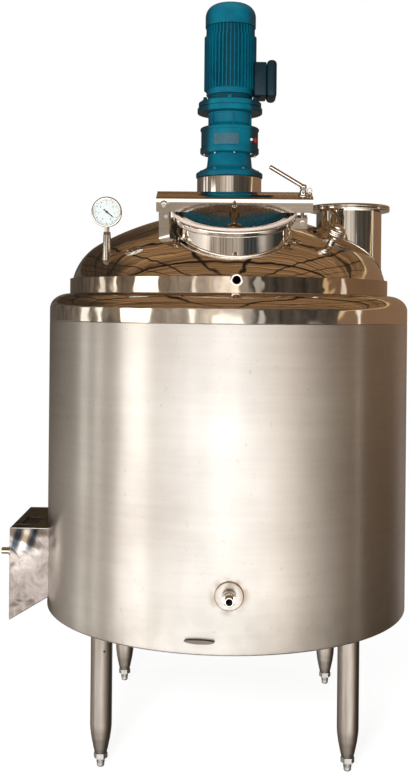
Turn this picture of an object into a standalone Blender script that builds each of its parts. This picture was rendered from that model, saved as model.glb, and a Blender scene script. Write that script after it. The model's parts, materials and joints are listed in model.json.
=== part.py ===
# Jacketed stainless mixing tank with a geared motor drive, a swing bar manhole and a side box.
# Metres, +Z up. The origin lies on the floor, in the middle of the whole tank's outline.
# Inside this file the pieces are placed round the tank's own upright axis; +X is right, -Y is front.

import math

import bmesh
import bpy
from mathutils import Vector

# Vessel and jacket
JACKET_R = 0.625
JACKET_BOTTOM = 0.431
JACKET_TOP = 1.415
BAND_TOP = 1.457
SHOULDER_TOP = 1.508
COLLAR_R = 0.5565
COLLAR_TOP = 1.56
VESSEL_R = 0.552
VESSEL_WALL = 0.012
DOME_JOIN = 1.515
DOME_WALL = 0.006
DOME_CROWN_R = 0.92
DOME_KNUCKLE_R = 0.19
HEAD_JOIN = 0.54
HEAD_CROWN_R = 1.115
HEAD_KNUCKLE_R = 0.125
GAP = 0.0003

# Outlet under the bottom head
OUTLET_R = 0.026
OUTLET_BORE = 0.022
OUTLET_FERRULE_R = 0.038
OUTLET_TOP = 0.33
OUTLET_END = 0.25

# Legs and feet
LEG_OFFSET = 0.392
LEG_R = 0.0345
LEG_TAPER_Z = 0.127
LEG_TIP_R = 0.019
LEG_TIP_Z = 0.045
FOOT_NUT_R = 0.022
FOOT_NUT_Z = 0.028
FOOT_TIP_R = 0.012

# Manhole on the dome, tilted with the dome's surface
MANHOLE_X = 0.0175
MANHOLE_Y = -0.367
MANHOLE_TILT = math.radians(22.3)
RIM_ABOVE_DOME = 0.046
NECK_R = 0.181
NECK_WALL = 0.005
NECK_BELOW_RIM = 0.13
RIM_R = 0.195
RIM_HEIGHT = 0.022
COVER_R = 0.199
COVER_EDGE = 0.009
COVER_DISH_R = 0.169
COVER_DISH_DEPTH = 0.05
COVER_SKIN = 0.004

# Cross bar, its hinge and its clamp, measured from the middle of the cover
BAR_LENGTH = 0.493
BAR_WIDTH = 0.08
BAR_HEIGHT = 0.045
BAR_SKIN = 0.005
BAR_BOTTOM = 0.013
PIVOT_X = -0.222
PIVOT_Z = 0.035
PIN_R = 0.006
CLAMP_PIN_R = 0.005
EAR_GAP = 0.0015
EAR_THICK = 0.006
EAR_HALF_WIDTH = 0.0165
CLAMP_X = 0.216
ROD_R = 0.0055
ROD_CLEARANCE = 0.0015
SLOT_HALF_WIDTH = 0.0075
LUG_PIN_Z = -0.029
LUG_REACH = 0.232
LUG_WIDTH = 0.036
LUG_SLOT = 0.014
NUT_R = 0.0125
NUT_HEIGHT = 0.034
ROD_IN_NUT = 0.013
LEVER_R = 0.0075
LEVER_START = 0.028
LEVER_LENGTH = 0.125
LEVER_RISE = math.radians(31)

# Drive on the tank's axis
PEDESTAL_R = 0.114
PEDESTAL_TOP = 1.922
BASE_FLANGE_R = 0.118
BASE_FLANGE_TOP = 1.939
BASE_HUB_R = 0.083
BASE_HUB_TOP = 1.957
GEAR_NECK_LOW_R = 0.08
GEAR_NECK_R = 0.0755
GEAR_BOTTOM = 2.005
GEAR_TOP = 2.099
GEAR_R = 0.104
GEAR_EDGE = 0.008
INPUT_R = 0.078
MOTOR_FLANGE_R = 0.115
MOTOR_FLANGE_BOTTOM = 2.15
MOTOR_FLANGE_TOP = 2.189
MOTOR_SHIELD_R = 0.084
MOTOR_BOTTOM = 2.23
MOTOR_TOP = 2.425
MOTOR_R = 0.092
FAN_COVER_R = 0.0895
FAN_COVER_BOTTOM = 2.455
FAN_COVER_EDGE = 0.045
TANK_TOP = 2.536
TERMINAL_REACH = 0.163
TERMINAL_BOTTOM = 2.2
TERMINAL_TOP = 2.333
TERMINAL_WIDTH = 0.12

# Fittings on the dome
FEED_X = 0.423
FEED_Y = -0.01
FEED_R = 0.114
FEED_WALL = 0.004
FEED_BOTTOM = 1.572
FEED_TOP = 1.8045
FEED_FLANGE_R = 0.142
FEED_FLANGE_THICK = 0.01
FEED_COVER_THICK = 0.0095
STUB_X = 0.325
STUB_Y = -0.35
STUB_HEIGHT = 0.072
STUB_R = 0.0125
CLAMP_RING_R = 0.03
CLAMP_RING_HEIGHT = 0.03
CLAMP_CAP_R = 0.017
CLAMP_CAP_RISE = 0.006

# Dial gauge
GAUGE_X = -0.393
GAUGE_Y = -0.345
SOCKET_R = 0.013
SOCKET_BOTTOM = 1.59
SOCKET_TOP = 1.7045
STEM_R = 0.0075
DIAL_CENTRE_Z = 1.768
DIAL_R = 0.049
DIAL_DEPTH = 0.045
DIAL_RECESS = 0.006

# Fittings on the shell
COLLAR_STUB_X = 0.025
COLLAR_STUB_Z = 1.547
COLLAR_STUB_R = 0.0195
COLLAR_STUB_BORE = 0.012
COLLAR_STUB_LENGTH = 0.05
INLET_X = 0.0115
INLET_Z = 0.61
INLET_R = 0.014
INLET_BORE = 0.01
INLET_LENGTH = 0.068
UNION_R = 0.021
UNION_FRONT = 0.028
UNION_BACK = 0.05
INLET_PAD_R = 0.044
INLET_PAD_THICK = 0.006
LIP_X = -0.075
LIP_Z = 0.4755
LIP_HALF_WIDTH = 0.046
LIP_HEIGHT = 0.016
LIP_REACH = 0.012
LIP_STEPS = 12

# Box on the left of the shell
BOX_LEFT = -0.736
BOX_FRONT = -0.17
BOX_BACK = 0.21
BOX_TOP = 0.708
BOX_BOTTOM_OUTER = 0.393
BOX_BOTTOM_INNER = 0.46
BOX_GLAND_Y = -0.12
BOX_GLAND_Z = 0.619
BOX_GLAND_R = 0.011
BOX_GLAND_REACH = -0.772

# The tank's axis seen from the middle of the outline
TANK_X = -(BOX_GLAND_REACH + JACKET_R) / 2
TANK_Y = INLET_LENGTH / 2

# Sides of the round pieces
BIG_SIDES = 48
MIDDLE_SIDES = 24
FEED_SIDES = 32
SMALL_SIDES = 12
CROWN_STEPS = 5
KNUCKLE_STEPS = 4
SHOULDER_STEPS = 4

STEEL = ("polished_steel", (0.62, 0.60, 0.57, 1), 0.12, 1.0)
SATIN = ("satin_steel", (0.60, 0.58, 0.56, 1), 0.42, 1.0)
BRUSHED = ("brushed_tube", (0.50, 0.48, 0.46, 1), 0.35, 1.0)
CAST_BLUE = ("blue_enamel", (0.0, 0.10, 0.19, 1), 0.35, 0.0)
DARK_BLUE = ("dark_blue_enamel", (0.01, 0.05, 0.09, 1), 0.4, 0.0)


def clear_scene():
    for old in list(bpy.data.objects):
        bpy.data.objects.remove(old, do_unlink=True)


def material(look):
    name, colour, roughness, metallic = look
    found = bpy.data.materials.get(name)
    if found:
        return found
    made = bpy.data.materials.new(name)
    made.use_nodes = True
    shader = made.node_tree.nodes["Principled BSDF"]
    shader.inputs["Base Color"].default_value = colour
    shader.inputs["Roughness"].default_value = roughness
    shader.inputs["Metallic"].default_value = metallic
    return made


def empty(name, parent=None, location=(0, 0, 0), turn=(0, 0, 0)):
    guide = bpy.data.objects.new(name, None)
    guide.parent = parent
    guide.location = location
    guide.rotation_euler = turn
    bpy.context.collection.objects.link(guide)
    return guide


def piece(name, shape, look, parent, location=(0, 0, 0), turn=(0, 0, 0), smooth_angle=35):
    bmesh.ops.recalc_face_normals(shape, faces=shape.faces)
    mesh = bpy.data.meshes.new(name)
    shape.to_mesh(mesh)
    shape.free()
    mesh.shade_smooth()
    mesh.set_sharp_from_angle(angle=math.radians(smooth_angle))
    mesh.materials.append(material(look))
    made = bpy.data.objects.new(name, mesh)
    made.parent = parent
    made.location = location
    made.rotation_euler = turn
    bpy.context.collection.objects.link(made)
    return made


def cutter(name, shape, parent, location=(0, 0, 0), turn=(0, 0, 0)):
    made = piece(name, shape, STEEL, parent, location, turn)
    made.hide_render = True
    made.display_type = "WIRE"
    return made


def boolean(target, tool, operation="DIFFERENCE"):
    step = target.modifiers.new(tool.name, "BOOLEAN")
    step.operation = operation
    step.solver = "EXACT"
    step.object = tool


def arc(centre, radius, start, end, steps):
    # Points of a circle in the (r, z) plane, angles in degrees from +r
    points = []
    for i in range(steps + 1):
        angle = math.radians(start + (end - start) * i / steps)
        points.append((centre[0] + radius * math.cos(angle), centre[1] + radius * math.sin(angle)))
    return points


def turned(profile, sides):
    # Turns a closed (r, z) outline round Z; points at r = 0 become single poles
    shape = bmesh.new()
    rings = []
    for r, z in profile:
        if r < 1e-6:
            rings.append([shape.verts.new((0, 0, z))])
            continue
        ring = []
        for i in range(sides):
            angle = 2 * math.pi * i / sides
            ring.append(shape.verts.new((r * math.cos(angle), r * math.sin(angle), z)))
        rings.append(ring)
    for k, ring in enumerate(rings):
        after = rings[(k + 1) % len(rings)]
        if len(ring) == 1 and len(after) == 1:
            continue
        for i in range(sides):
            j = (i + 1) % sides
            if len(ring) == 1:
                shape.faces.new((ring[0], after[i], after[j]))
            elif len(after) == 1:
                shape.faces.new((ring[i], after[0], ring[j]))
            else:
                shape.faces.new((ring[i], after[i], after[j], ring[j]))
    return shape


def solid_rod(radius, bottom, top, sides, edge=0.0):
    # A round bar with optional chamfered ends
    if edge:
        outline = [(0, top), (radius - edge, top), (radius, top - edge)]
        outline += [(radius, bottom + edge), (radius - edge, bottom), (0, bottom)]
    else:
        outline = [(0, top), (radius, top), (radius, bottom), (0, bottom)]
    return turned(outline, sides)


def tube(outer, inner, bottom, top, sides):
    return turned([(outer, top), (outer, bottom), (inner, bottom), (inner, top)], sides)


def extruded(outline, thickness):
    # An (x, z) outline given a thickness along Y, centred on y = 0
    shape = bmesh.new()
    front = [shape.verts.new((x, -thickness / 2, z)) for x, z in outline]
    back = [shape.verts.new((x, thickness / 2, z)) for x, z in outline]
    shape.faces.new(front)
    shape.faces.new(list(reversed(back)))
    for i in range(len(outline)):
        j = (i + 1) % len(outline)
        shape.faces.new((front[i], back[i], back[j], front[j]))
    return shape


def block(low, high):
    shape = bmesh.new()
    bmesh.ops.create_cube(shape, size=1)
    for vert in shape.verts:
        for axis in range(3):
            vert.co[axis] = high[axis] if vert.co[axis] > 0 else low[axis]
    return shape


def bevelled(shape, width, segments=2, edges=None):
    chosen = edges or list(shape.edges)
    bmesh.ops.bevel(shape, geom=chosen, offset=width, segments=segments, profile=0.5, affect="EDGES")
    return shape


def dished_outline(base_z, crown_r, knuckle_r, grow, way):
    # Outer line of a dished end from its rim to its pole; way is 1 for a dome, -1 for a bottom
    tangent = math.degrees(math.asin((VESSEL_R - knuckle_r) / (crown_r - knuckle_r)))
    crown_centre = -(crown_r - knuckle_r) * math.cos(math.radians(tangent))
    knuckle = arc((VESSEL_R - knuckle_r, 0), knuckle_r + grow, 0, 90 - tangent, KNUCKLE_STEPS)
    crown = arc((0, crown_centre), crown_r + grow, 90 - tangent, 90, CROWN_STEPS)
    points = knuckle + crown[1:]
    points[-1] = (0, points[-1][1])
    return [(r, base_z + way * z) for r, z in points]


def dome_line(grow):
    return dished_outline(DOME_JOIN, DOME_CROWN_R, DOME_KNUCKLE_R, grow, 1)


def head_line(grow):
    return dished_outline(HEAD_JOIN, HEAD_CROWN_R, HEAD_KNUCKLE_R, grow, -1)


def on_dome(distance):
    # Height of the dome at a distance from the axis, and the lean of its surface there
    tangent = math.asin((VESSEL_R - DOME_KNUCKLE_R) / (DOME_CROWN_R - DOME_KNUCKLE_R))
    if distance < DOME_CROWN_R * math.sin(tangent):
        centre = DOME_JOIN - (DOME_CROWN_R - DOME_KNUCKLE_R) * math.cos(tangent)
        lean = math.asin(distance / DOME_CROWN_R)
        return centre + DOME_CROWN_R * math.cos(lean), lean
    lean = math.asin((distance - VESSEL_R + DOME_KNUCKLE_R) / DOME_KNUCKLE_R)
    return DOME_JOIN + DOME_KNUCKLE_R * math.cos(lean), lean


def dome_cutter(tank):
    low = DOME_JOIN - 0.3
    outline = dome_line(GAP) + [(0, low), (VESSEL_R + GAP, low)]
    return cutter("dome_cutter", turned(outline, BIG_SIDES), tank)


def vessel(tank):
    inside = VESSEL_R - VESSEL_WALL
    wall = [(VESSEL_R, DOME_JOIN - GAP), (VESSEL_R, HEAD_JOIN + GAP)]
    wall += [(inside, HEAD_JOIN + GAP), (inside, DOME_JOIN - GAP)]
    piece("vessel_shell", turned(wall, BIG_SIDES), STEEL, tank)
    line = dome_line(0) + list(reversed(dome_line(-DOME_WALL)))
    dome = piece("top_dome", turned(line, BIG_SIDES), STEEL, tank)
    line = head_line(0) + list(reversed(head_line(-DOME_WALL)))
    head = piece("bottom_head", turned(line, BIG_SIDES), STEEL, tank)
    hole = cutter("outlet_hole", solid_rod(OUTLET_R + GAP, 0.2, 0.4, MIDDLE_SIDES), tank)
    boolean(head, hole)
    return dome


def collar(tank):
    # Polished band round the foot of the dome; its inner face follows the dome's first flat
    low, high = dome_line(2 * GAP)[:2]
    share = (COLLAR_TOP - low[1]) / (high[1] - low[1])
    lip = low[0] + share * (high[0] - low[0])
    band = [(COLLAR_R, COLLAR_TOP), (COLLAR_R, SHOULDER_TOP + GAP), (low[0], SHOULDER_TOP + GAP)]
    band += [low, (lip, COLLAR_TOP)]
    return piece("vessel_collar", turned(band, BIG_SIDES), STEEL, tank)


def outlet(tank):
    outline = [(OUTLET_R, OUTLET_TOP), (OUTLET_R, OUTLET_END + 0.012)]
    outline += [(OUTLET_FERRULE_R, OUTLET_END + 0.006), (OUTLET_FERRULE_R, OUTLET_END)]
    outline += [(OUTLET_BORE, OUTLET_END), (OUTLET_BORE, OUTLET_TOP)]
    piece("bottom_outlet", turned(outline, MIDDLE_SIDES), STEEL, tank)


def jacket(tank):
    # A ring from the bottom edge to the polished band; low down it follows the bottom head
    inner = VESSEL_R + GAP
    knuckle = [p for p in head_line(GAP) if p[1] > JACKET_BOTTOM]
    drop = HEAD_JOIN - JACKET_BOTTOM
    flat = VESSEL_R - HEAD_KNUCKLE_R + math.sqrt((HEAD_KNUCKLE_R + GAP) ** 2 - drop ** 2) + 0.003
    ring = [(JACKET_R, JACKET_TOP), (JACKET_R, JACKET_BOTTOM), (flat, JACKET_BOTTOM)]
    ring += list(reversed(knuckle)) + [(inner, JACKET_TOP)]
    piece("jacket_shell", turned(ring, BIG_SIDES), SATIN, tank)
    low = JACKET_TOP + GAP
    foot = COLLAR_R + 0.002
    rise = [(JACKET_R, low), (inner, low), (inner, SHOULDER_TOP), (foot, SHOULDER_TOP)]
    for i in range(SHOULDER_STEPS):
        angle = math.pi / 2 * (1 - i / SHOULDER_STEPS)
        out = (JACKET_R - foot) * math.cos(angle)
        up = (SHOULDER_TOP - BAND_TOP) * math.sin(angle)
        if i:
            rise.append((foot + out, BAND_TOP + up))
    rise.append((JACKET_R, BAND_TOP))
    piece("jacket_shoulder", turned(rise, BIG_SIDES), STEEL, tank)


def legs(tank):
    sides = {"front_left": (-1, -1), "front_right": (1, -1), "rear_left": (-1, 1), "rear_right": (1, 1)}
    for place, (x, y) in sides.items():
        spot = (x * LEG_OFFSET, y * LEG_OFFSET, 0)
        outline = [(0, JACKET_BOTTOM - GAP), (LEG_R, JACKET_BOTTOM - GAP), (LEG_R, LEG_TAPER_Z)]
        outline += [(LEG_R - 0.004, LEG_TAPER_Z - 0.032), (LEG_TIP_R + 0.005, LEG_TIP_Z + 0.018)]
        outline += [(LEG_TIP_R, LEG_TIP_Z), (0, LEG_TIP_Z)]
        piece("leg_" + place, turned(outline, 16), BRUSHED, tank, spot)
        outline = [(0, LEG_TIP_Z - GAP), (FOOT_NUT_R, LEG_TIP_Z - GAP), (FOOT_NUT_R, FOOT_NUT_Z)]
        outline += [(FOOT_TIP_R + 0.004, FOOT_NUT_Z), (FOOT_TIP_R, 0), (0, 0)]
        piece("foot_" + place, turned(outline, SMALL_SIDES), STEEL, tank, spot)


def manhole_neck(manhole, dome):
    outline = [(NECK_R, -GAP), (NECK_R, -NECK_BELOW_RIM)]
    outline += [(NECK_R - NECK_WALL, -NECK_BELOW_RIM), (NECK_R - NECK_WALL, -GAP)]
    piece("manhole_neck", turned(outline, 36), STEEL, manhole)
    hole = cutter("manhole_hole", solid_rod(NECK_R + GAP, -0.2, 0.05, 36), manhole)
    boolean(dome, hole)
    inner = NECK_R + GAP
    outline = [(inner, -GAP), (RIM_R - 0.003, -GAP), (RIM_R, -0.004), (RIM_R, -RIM_HEIGHT + 0.004)]
    outline += [(RIM_R - 0.004, -RIM_HEIGHT), (inner, -RIM_HEIGHT)]
    piece("manhole_rim", turned(outline, 36), STEEL, manhole)


def manhole_cover(bar_axis, offset):
    # Inverted dish: a rolled edge on the rim, and a bowl that hangs into the neck
    bowl_r = (COVER_DISH_R ** 2 + COVER_DISH_DEPTH ** 2) / (2 * COVER_DISH_DEPTH)
    half = math.degrees(math.asin(COVER_DISH_R / bowl_r))
    under = arc((0, bowl_r - COVER_DISH_DEPTH), bowl_r, -90, -90 + half, 5)
    over = arc((0, bowl_r - COVER_DISH_DEPTH), bowl_r - COVER_SKIN, -90 + half, -90, 5)
    under[0] = (0, under[0][1])
    over[-1] = (0, over[-1][1])
    edge = [(COVER_R - 0.003, 0), (COVER_R, 0.003), (COVER_R, COVER_EDGE - 0.003)]
    edge += [(COVER_R - 0.003, COVER_EDGE), (COVER_R - 0.009, COVER_EDGE), (COVER_R - 0.012, COVER_SKIN)]
    return piece("manhole_cover", turned(under + edge + over, 36), STEEL, bar_axis, offset)


def cover_spindle(bar_axis, offset):
    # Rod from the bar to the middle of the dish, with a boss and a foot pad
    foot = -COVER_DISH_DEPTH + COVER_SKIN + 0.0008
    top = BAR_BOTTOM + BAR_HEIGHT - BAR_SKIN - GAP
    outline = [(0, top), (0.008, top), (0.008, 0.016), (0.019, 0.014), (0.019, -0.013), (0.0085, -0.015)]
    outline += [(0.0085, foot + 0.008), (0.0225, foot + 0.005), (0.0225, foot + 0.001), (0, foot)]
    piece("cover_spindle", turned(outline, 16), STEEL, bar_axis, offset)


def cross_bar(bar_axis, offset):
    # Folded channel, open below, with a slot at its free end for the clamp bolt
    left = -BAR_LENGTH / 2
    right = BAR_LENGTH / 2
    low = BAR_BOTTOM
    high = BAR_BOTTOM + BAR_HEIGHT
    shape = block((left, -BAR_WIDTH / 2, low), (right, BAR_WIDTH / 2, high))
    tops = [e for e in shape.edges if all(v.co.z > high - 1e-6 for v in e.verts)
            and abs(e.verts[0].co.y - e.verts[1].co.y) < 1e-6]
    bevelled(shape, 0.006, 3, tops)
    bar = piece("manhole_bar", shape, STEEL, bar_axis, offset)
    half = BAR_WIDTH / 2 - BAR_SKIN
    trough = block((left - 0.01, -half, low - 0.01), (right + 0.01, half, high - BAR_SKIN))
    boolean(bar, cutter("bar_trough", trough, bar_axis, offset))
    corner = (right + 0.01, SLOT_HALF_WIDTH, high + 0.01)
    slot = block((CLAMP_X - SLOT_HALF_WIDTH, -SLOT_HALF_WIDTH, high - 0.02), corner)
    boolean(bar, cutter("bar_slot", slot, bar_axis, offset))
    hole = solid_rod(PIN_R + 0.0008, -0.06, 0.06, 16)
    boolean(bar, cutter("bar_pin_hole", hole, bar_axis, (0, 0, 0), (math.pi / 2, 0, 0)))
    return bar


def bar_hinge(manhole, dome_tool):
    # Fork of two ears on a foot that stands on the dome, left of the cover
    half = BAR_WIDTH / 2 + EAR_GAP + EAR_THICK
    ear_top = arc((PIVOT_X, PIVOT_Z), EAR_HALF_WIDTH, 0, 180, 6)
    outline = ear_top + [(PIVOT_X - EAR_HALF_WIDTH, -0.1), (PIVOT_X + EAR_HALF_WIDTH, -0.1)]
    fork = piece("bar_hinge", extruded(outline, 2 * half), STEEL, manhole)
    inner = BAR_WIDTH / 2 + EAR_GAP
    slot = block((PIVOT_X - 0.05, -inner, -0.028), (PIVOT_X + 0.05, inner, 0.1))
    boolean(fork, cutter("hinge_slot", slot, manhole))
    hole = solid_rod(PIN_R + GAP, -0.06, 0.06, SMALL_SIDES)
    boolean(fork, cutter("hinge_hole", hole, manhole, (PIVOT_X, 0, PIVOT_Z), (math.pi / 2, 0, 0)))
    boolean(fork, dome_tool)
    rod = half + 0.004
    outline = [(0, rod), (0.0095, rod), (0.0095, half + GAP), (PIN_R, half + GAP)]
    outline += [(PIN_R, -half - GAP), (0.0095, -half - GAP), (0.0095, -rod), (0, -rod)]
    shape = turned(outline, SMALL_SIDES)
    piece("hinge_pin", shape, STEEL, manhole, (PIVOT_X, 0, PIVOT_Z), (math.pi / 2, 0, 0))


def clamp(manhole):
    # Fork on the side of the neck, its pin, and the eye bolt that stands in the bar's slot
    low = LUG_PIN_Z - 0.018
    high = LUG_PIN_Z + 0.017
    outline = [(NECK_R - 0.02, low), (LUG_REACH, low), (LUG_REACH, high), (NECK_R - 0.02, high)]
    lugs = piece("clamp_lugs", extruded(outline, LUG_WIDTH), STEEL, manhole)
    neck = cutter("lug_neck_cut", solid_rod(NECK_R + GAP, -0.2, 0.1, 36), manhole)
    rim = cutter("lug_rim_cut", solid_rod(RIM_R + 0.001, -RIM_HEIGHT - 0.001, 0.1, 36), manhole)
    boolean(lugs, neck)
    boolean(lugs, rim)
    corner = (LUG_REACH + 0.01, LUG_SLOT / 2, high + 0.01)
    gap = block((CLAMP_X - 0.0145, -LUG_SLOT / 2, low - 0.01), corner)
    boolean(lugs, cutter("lug_slot", gap, manhole))
    hole = solid_rod(CLAMP_PIN_R + GAP, -0.06, 0.06, SMALL_SIDES)
    boolean(lugs, cutter("lug_hole", hole, manhole, (CLAMP_X, 0, LUG_PIN_Z), (math.pi / 2, 0, 0)))
    half = LUG_WIDTH / 2
    outline = [(0, half + 0.004), (0.008, half + 0.004), (0.008, half + GAP), (CLAMP_PIN_R, half + GAP)]
    outline += [(CLAMP_PIN_R, -half - GAP), (0.008, -half - GAP), (0.008, -half - 0.004), (0, -half - 0.004)]
    shape = turned(outline, SMALL_SIDES)
    piece("clamp_pin", shape, STEEL, manhole, (CLAMP_X, 0, LUG_PIN_Z), (math.pi / 2, 0, 0))
    rod_end = BAR_BOTTOM + BAR_HEIGHT + ROD_IN_NUT
    shape = solid_rod(ROD_R, LUG_PIN_Z, rod_end, SMALL_SIDES, 0.0015)
    bolt = piece("clamp_bolt", shape, STEEL, manhole, (CLAMP_X, 0, 0))
    eye = solid_rod(0.012, -0.006, 0.006, SMALL_SIDES)
    place = (CLAMP_X, 0, LUG_PIN_Z)
    boolean(bolt, cutter("bolt_eye", eye, manhole, place, (math.pi / 2, 0, 0)), "UNION")
    hole = solid_rod(CLAMP_PIN_R + GAP, -0.02, 0.02, SMALL_SIDES)
    boolean(bolt, cutter("bolt_eye_hole", hole, manhole, place, (math.pi / 2, 0, 0)))


def lever_nut(nut_axis):
    # Long nut with a bored middle and a slanted lever arm; its origin is on the bolt's axis
    bore = ROD_R + ROD_CLEARANCE
    washer = NUT_R + 0.003
    outline = [(NUT_R - 0.001, NUT_HEIGHT), (NUT_R, NUT_HEIGHT - 0.001), (NUT_R, 0.002), (washer, 0.002)]
    outline += [(washer, 0), (bore, 0), (bore, ROD_IN_NUT + 0.006), (0, ROD_IN_NUT + 0.009), (0, NUT_HEIGHT)]
    nut = piece("lever_nut", turned(outline, SMALL_SIDES), STEEL, nut_axis)
    arm = solid_rod(LEVER_R, -0.004, LEVER_LENGTH, SMALL_SIDES, 0.0025)
    lean = (0, LEVER_RISE - math.pi / 2, 0)
    start = (0, 0, LEVER_START)
    boolean(nut, cutter("lever_arm", arm, nut_axis, start, lean), "UNION")
    return nut


def manhole(tank, dome, dome_tool):
    height, _ = on_dome(math.hypot(MANHOLE_X, MANHOLE_Y))
    rise = Vector((0, -math.sin(MANHOLE_TILT), math.cos(MANHOLE_TILT)))
    centre = Vector((MANHOLE_X, MANHOLE_Y, height)) + RIM_ABOVE_DOME * rise
    plane = empty("manhole_plane", tank, centre, (MANHOLE_TILT, 0, 0))
    manhole_neck(plane, dome)
    bar_axis = empty("bar_axis", plane, (PIVOT_X, 0, PIVOT_Z))
    offset = (-PIVOT_X, 0, -PIVOT_Z)
    manhole_cover(bar_axis, offset)
    cover_spindle(bar_axis, offset)
    cross_bar(bar_axis, offset)
    bar_hinge(plane, dome_tool)
    clamp(plane)
    nut_axis = empty("nut_axis", bar_axis, (CLAMP_X - PIVOT_X, 0, BAR_BOTTOM + BAR_HEIGHT + GAP - PIVOT_Z))
    lever_nut(nut_axis)


def drive(tank, dome_tool):
    # Polished pedestal, geared drive and motor, stacked on the tank's axis
    outline = [(0, PEDESTAL_TOP), (PEDESTAL_R - 0.002, PEDESTAL_TOP), (PEDESTAL_R, PEDESTAL_TOP - 0.002)]
    outline += [(PEDESTAL_R, DOME_JOIN + 0.2), (0, DOME_JOIN + 0.2)]
    foot = piece("drive_pedestal", turned(outline, 32), STEEL, tank)
    boolean(foot, dome_tool)
    low = PEDESTAL_TOP + GAP
    outline = [(0, GEAR_BOTTOM - GAP), (GEAR_NECK_R, GEAR_BOTTOM - GAP)]
    outline += [(GEAR_NECK_LOW_R, BASE_HUB_TOP + 0.003), (BASE_HUB_R, BASE_HUB_TOP)]
    outline += [(BASE_FLANGE_R - 0.004, BASE_FLANGE_TOP), (BASE_FLANGE_R, BASE_FLANGE_TOP - 0.003)]
    outline += [(BASE_FLANGE_R, low), (0, low)]
    piece("gearbox_foot", turned(outline, MIDDLE_SIDES), CAST_BLUE, tank)
    flat = GEAR_R - GEAR_EDGE
    outline = [(0, GEAR_TOP), (flat, GEAR_TOP), (GEAR_R, GEAR_TOP - GEAR_EDGE)]
    outline += [(GEAR_R, GEAR_BOTTOM + GEAR_EDGE), (flat, GEAR_BOTTOM), (0, GEAR_BOTTOM)]
    piece("gear_housing", turned(outline, MIDDLE_SIDES), CAST_BLUE, tank)
    outline = [(0, MOTOR_FLANGE_BOTTOM - GAP), (INPUT_R, MOTOR_FLANGE_BOTTOM - GAP)]
    outline += [(INPUT_R, GEAR_TOP + 0.012), (INPUT_R + 0.008, GEAR_TOP + GAP), (0, GEAR_TOP + GAP)]
    piece("input_housing", turned(outline, MIDDLE_SIDES), CAST_BLUE, tank)
    top = MOTOR_FLANGE_TOP
    outline = [(0, top), (MOTOR_FLANGE_R - 0.003, top), (MOTOR_FLANGE_R, top - 0.003)]
    outline += [(MOTOR_FLANGE_R, MOTOR_FLANGE_BOTTOM), (0, MOTOR_FLANGE_BOTTOM)]
    piece("motor_flange", turned(outline, MIDDLE_SIDES), CAST_BLUE, tank)
    low = top + GAP
    neck = MOTOR_SHIELD_R - 0.004
    outline = [(0, FAN_COVER_BOTTOM - GAP), (neck, FAN_COVER_BOTTOM - GAP), (neck, MOTOR_TOP)]
    outline += [(MOTOR_R, MOTOR_TOP - 0.004), (MOTOR_R, MOTOR_BOTTOM + 0.006)]
    outline += [(MOTOR_SHIELD_R, MOTOR_BOTTOM - 0.004), (MOTOR_SHIELD_R, low), (0, low)]
    piece("motor_body", turned(outline, MIDDLE_SIDES), CAST_BLUE, tank)
    rounded = FAN_COVER_EDGE
    outline = arc((FAN_COVER_R - rounded, TANK_TOP - rounded), rounded, 0, 90, 5)
    outline += [(0, TANK_TOP), (0, FAN_COVER_BOTTOM), (FAN_COVER_R, FAN_COVER_BOTTOM)]
    piece("fan_cover", turned(outline, MIDDLE_SIDES), CAST_BLUE, tank)
    half = TERMINAL_WIDTH / 2
    shape = block((MOTOR_R - 0.03, -half, TERMINAL_BOTTOM), (TERMINAL_REACH, half, TERMINAL_TOP))
    outer = [e for e in shape.edges if any(v.co.x > TERMINAL_REACH - 1e-6 for v in e.verts)]
    bevelled(shape, 0.014, 2, outer)
    box = piece("terminal_box", shape, DARK_BLUE, tank)
    seat = solid_rod(MOTOR_R + 0.0008, TERMINAL_BOTTOM - 0.1, TERMINAL_TOP + 0.1, MIDDLE_SIDES)
    boolean(box, cutter("terminal_seat", seat, tank))


def feed_neck(tank, dome):
    # Wide flanged neck on the right, with a blind cover
    base = (FEED_X, FEED_Y, FEED_TOP)
    depth = FEED_BOTTOM - FEED_TOP
    piece("feed_neck", tube(FEED_R, FEED_R - FEED_WALL, depth, -GAP, FEED_SIDES), STEEL, tank, base)
    boolean(dome, cutter("feed_hole", solid_rod(FEED_R + GAP, depth - 0.05, 0.05, FEED_SIDES), tank, base))
    ring = tube(FEED_FLANGE_R, FEED_R - FEED_WALL, 0, FEED_FLANGE_THICK, FEED_SIDES)
    piece("feed_flange", ring, STEEL, tank, base)
    low = FEED_FLANGE_THICK + GAP
    lid = solid_rod(FEED_FLANGE_R, low, low + FEED_COVER_THICK, FEED_SIDES, 0.002)
    piece("feed_cover", lid, STEEL, tank, base)


def dome_stub(tank, dome_tool):
    # Small clamp ferrule that stands square on the dome
    distance = math.hypot(STUB_X, STUB_Y)
    height, lean = on_dome(distance)
    out = math.sin(lean) / distance
    direction = Vector((STUB_X * out, STUB_Y * out, math.cos(lean)))
    place = Vector((STUB_X, STUB_Y, height))
    turn = direction.to_track_quat("Z", "Y").to_euler()
    ring_top = STUB_HEIGHT - CLAMP_CAP_RISE
    ring_low = ring_top - CLAMP_RING_HEIGHT
    rod = solid_rod(STUB_R, -0.02, ring_low - GAP, SMALL_SIDES)
    stub = piece("dome_stub", rod, STEEL, tank, place, turn)
    boolean(stub, dome_tool)
    outline = [(0, STUB_HEIGHT), (CLAMP_CAP_R, STUB_HEIGHT), (CLAMP_CAP_R, ring_top)]
    outline += [(CLAMP_RING_R - 0.004, ring_top), (CLAMP_RING_R, ring_top - 0.007)]
    outline += [(CLAMP_RING_R, ring_low + 0.007), (CLAMP_RING_R - 0.004, ring_low), (0, ring_low)]
    piece("dome_stub_clamp", turned(outline, 16), STEEL, tank, place, turn)


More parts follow.
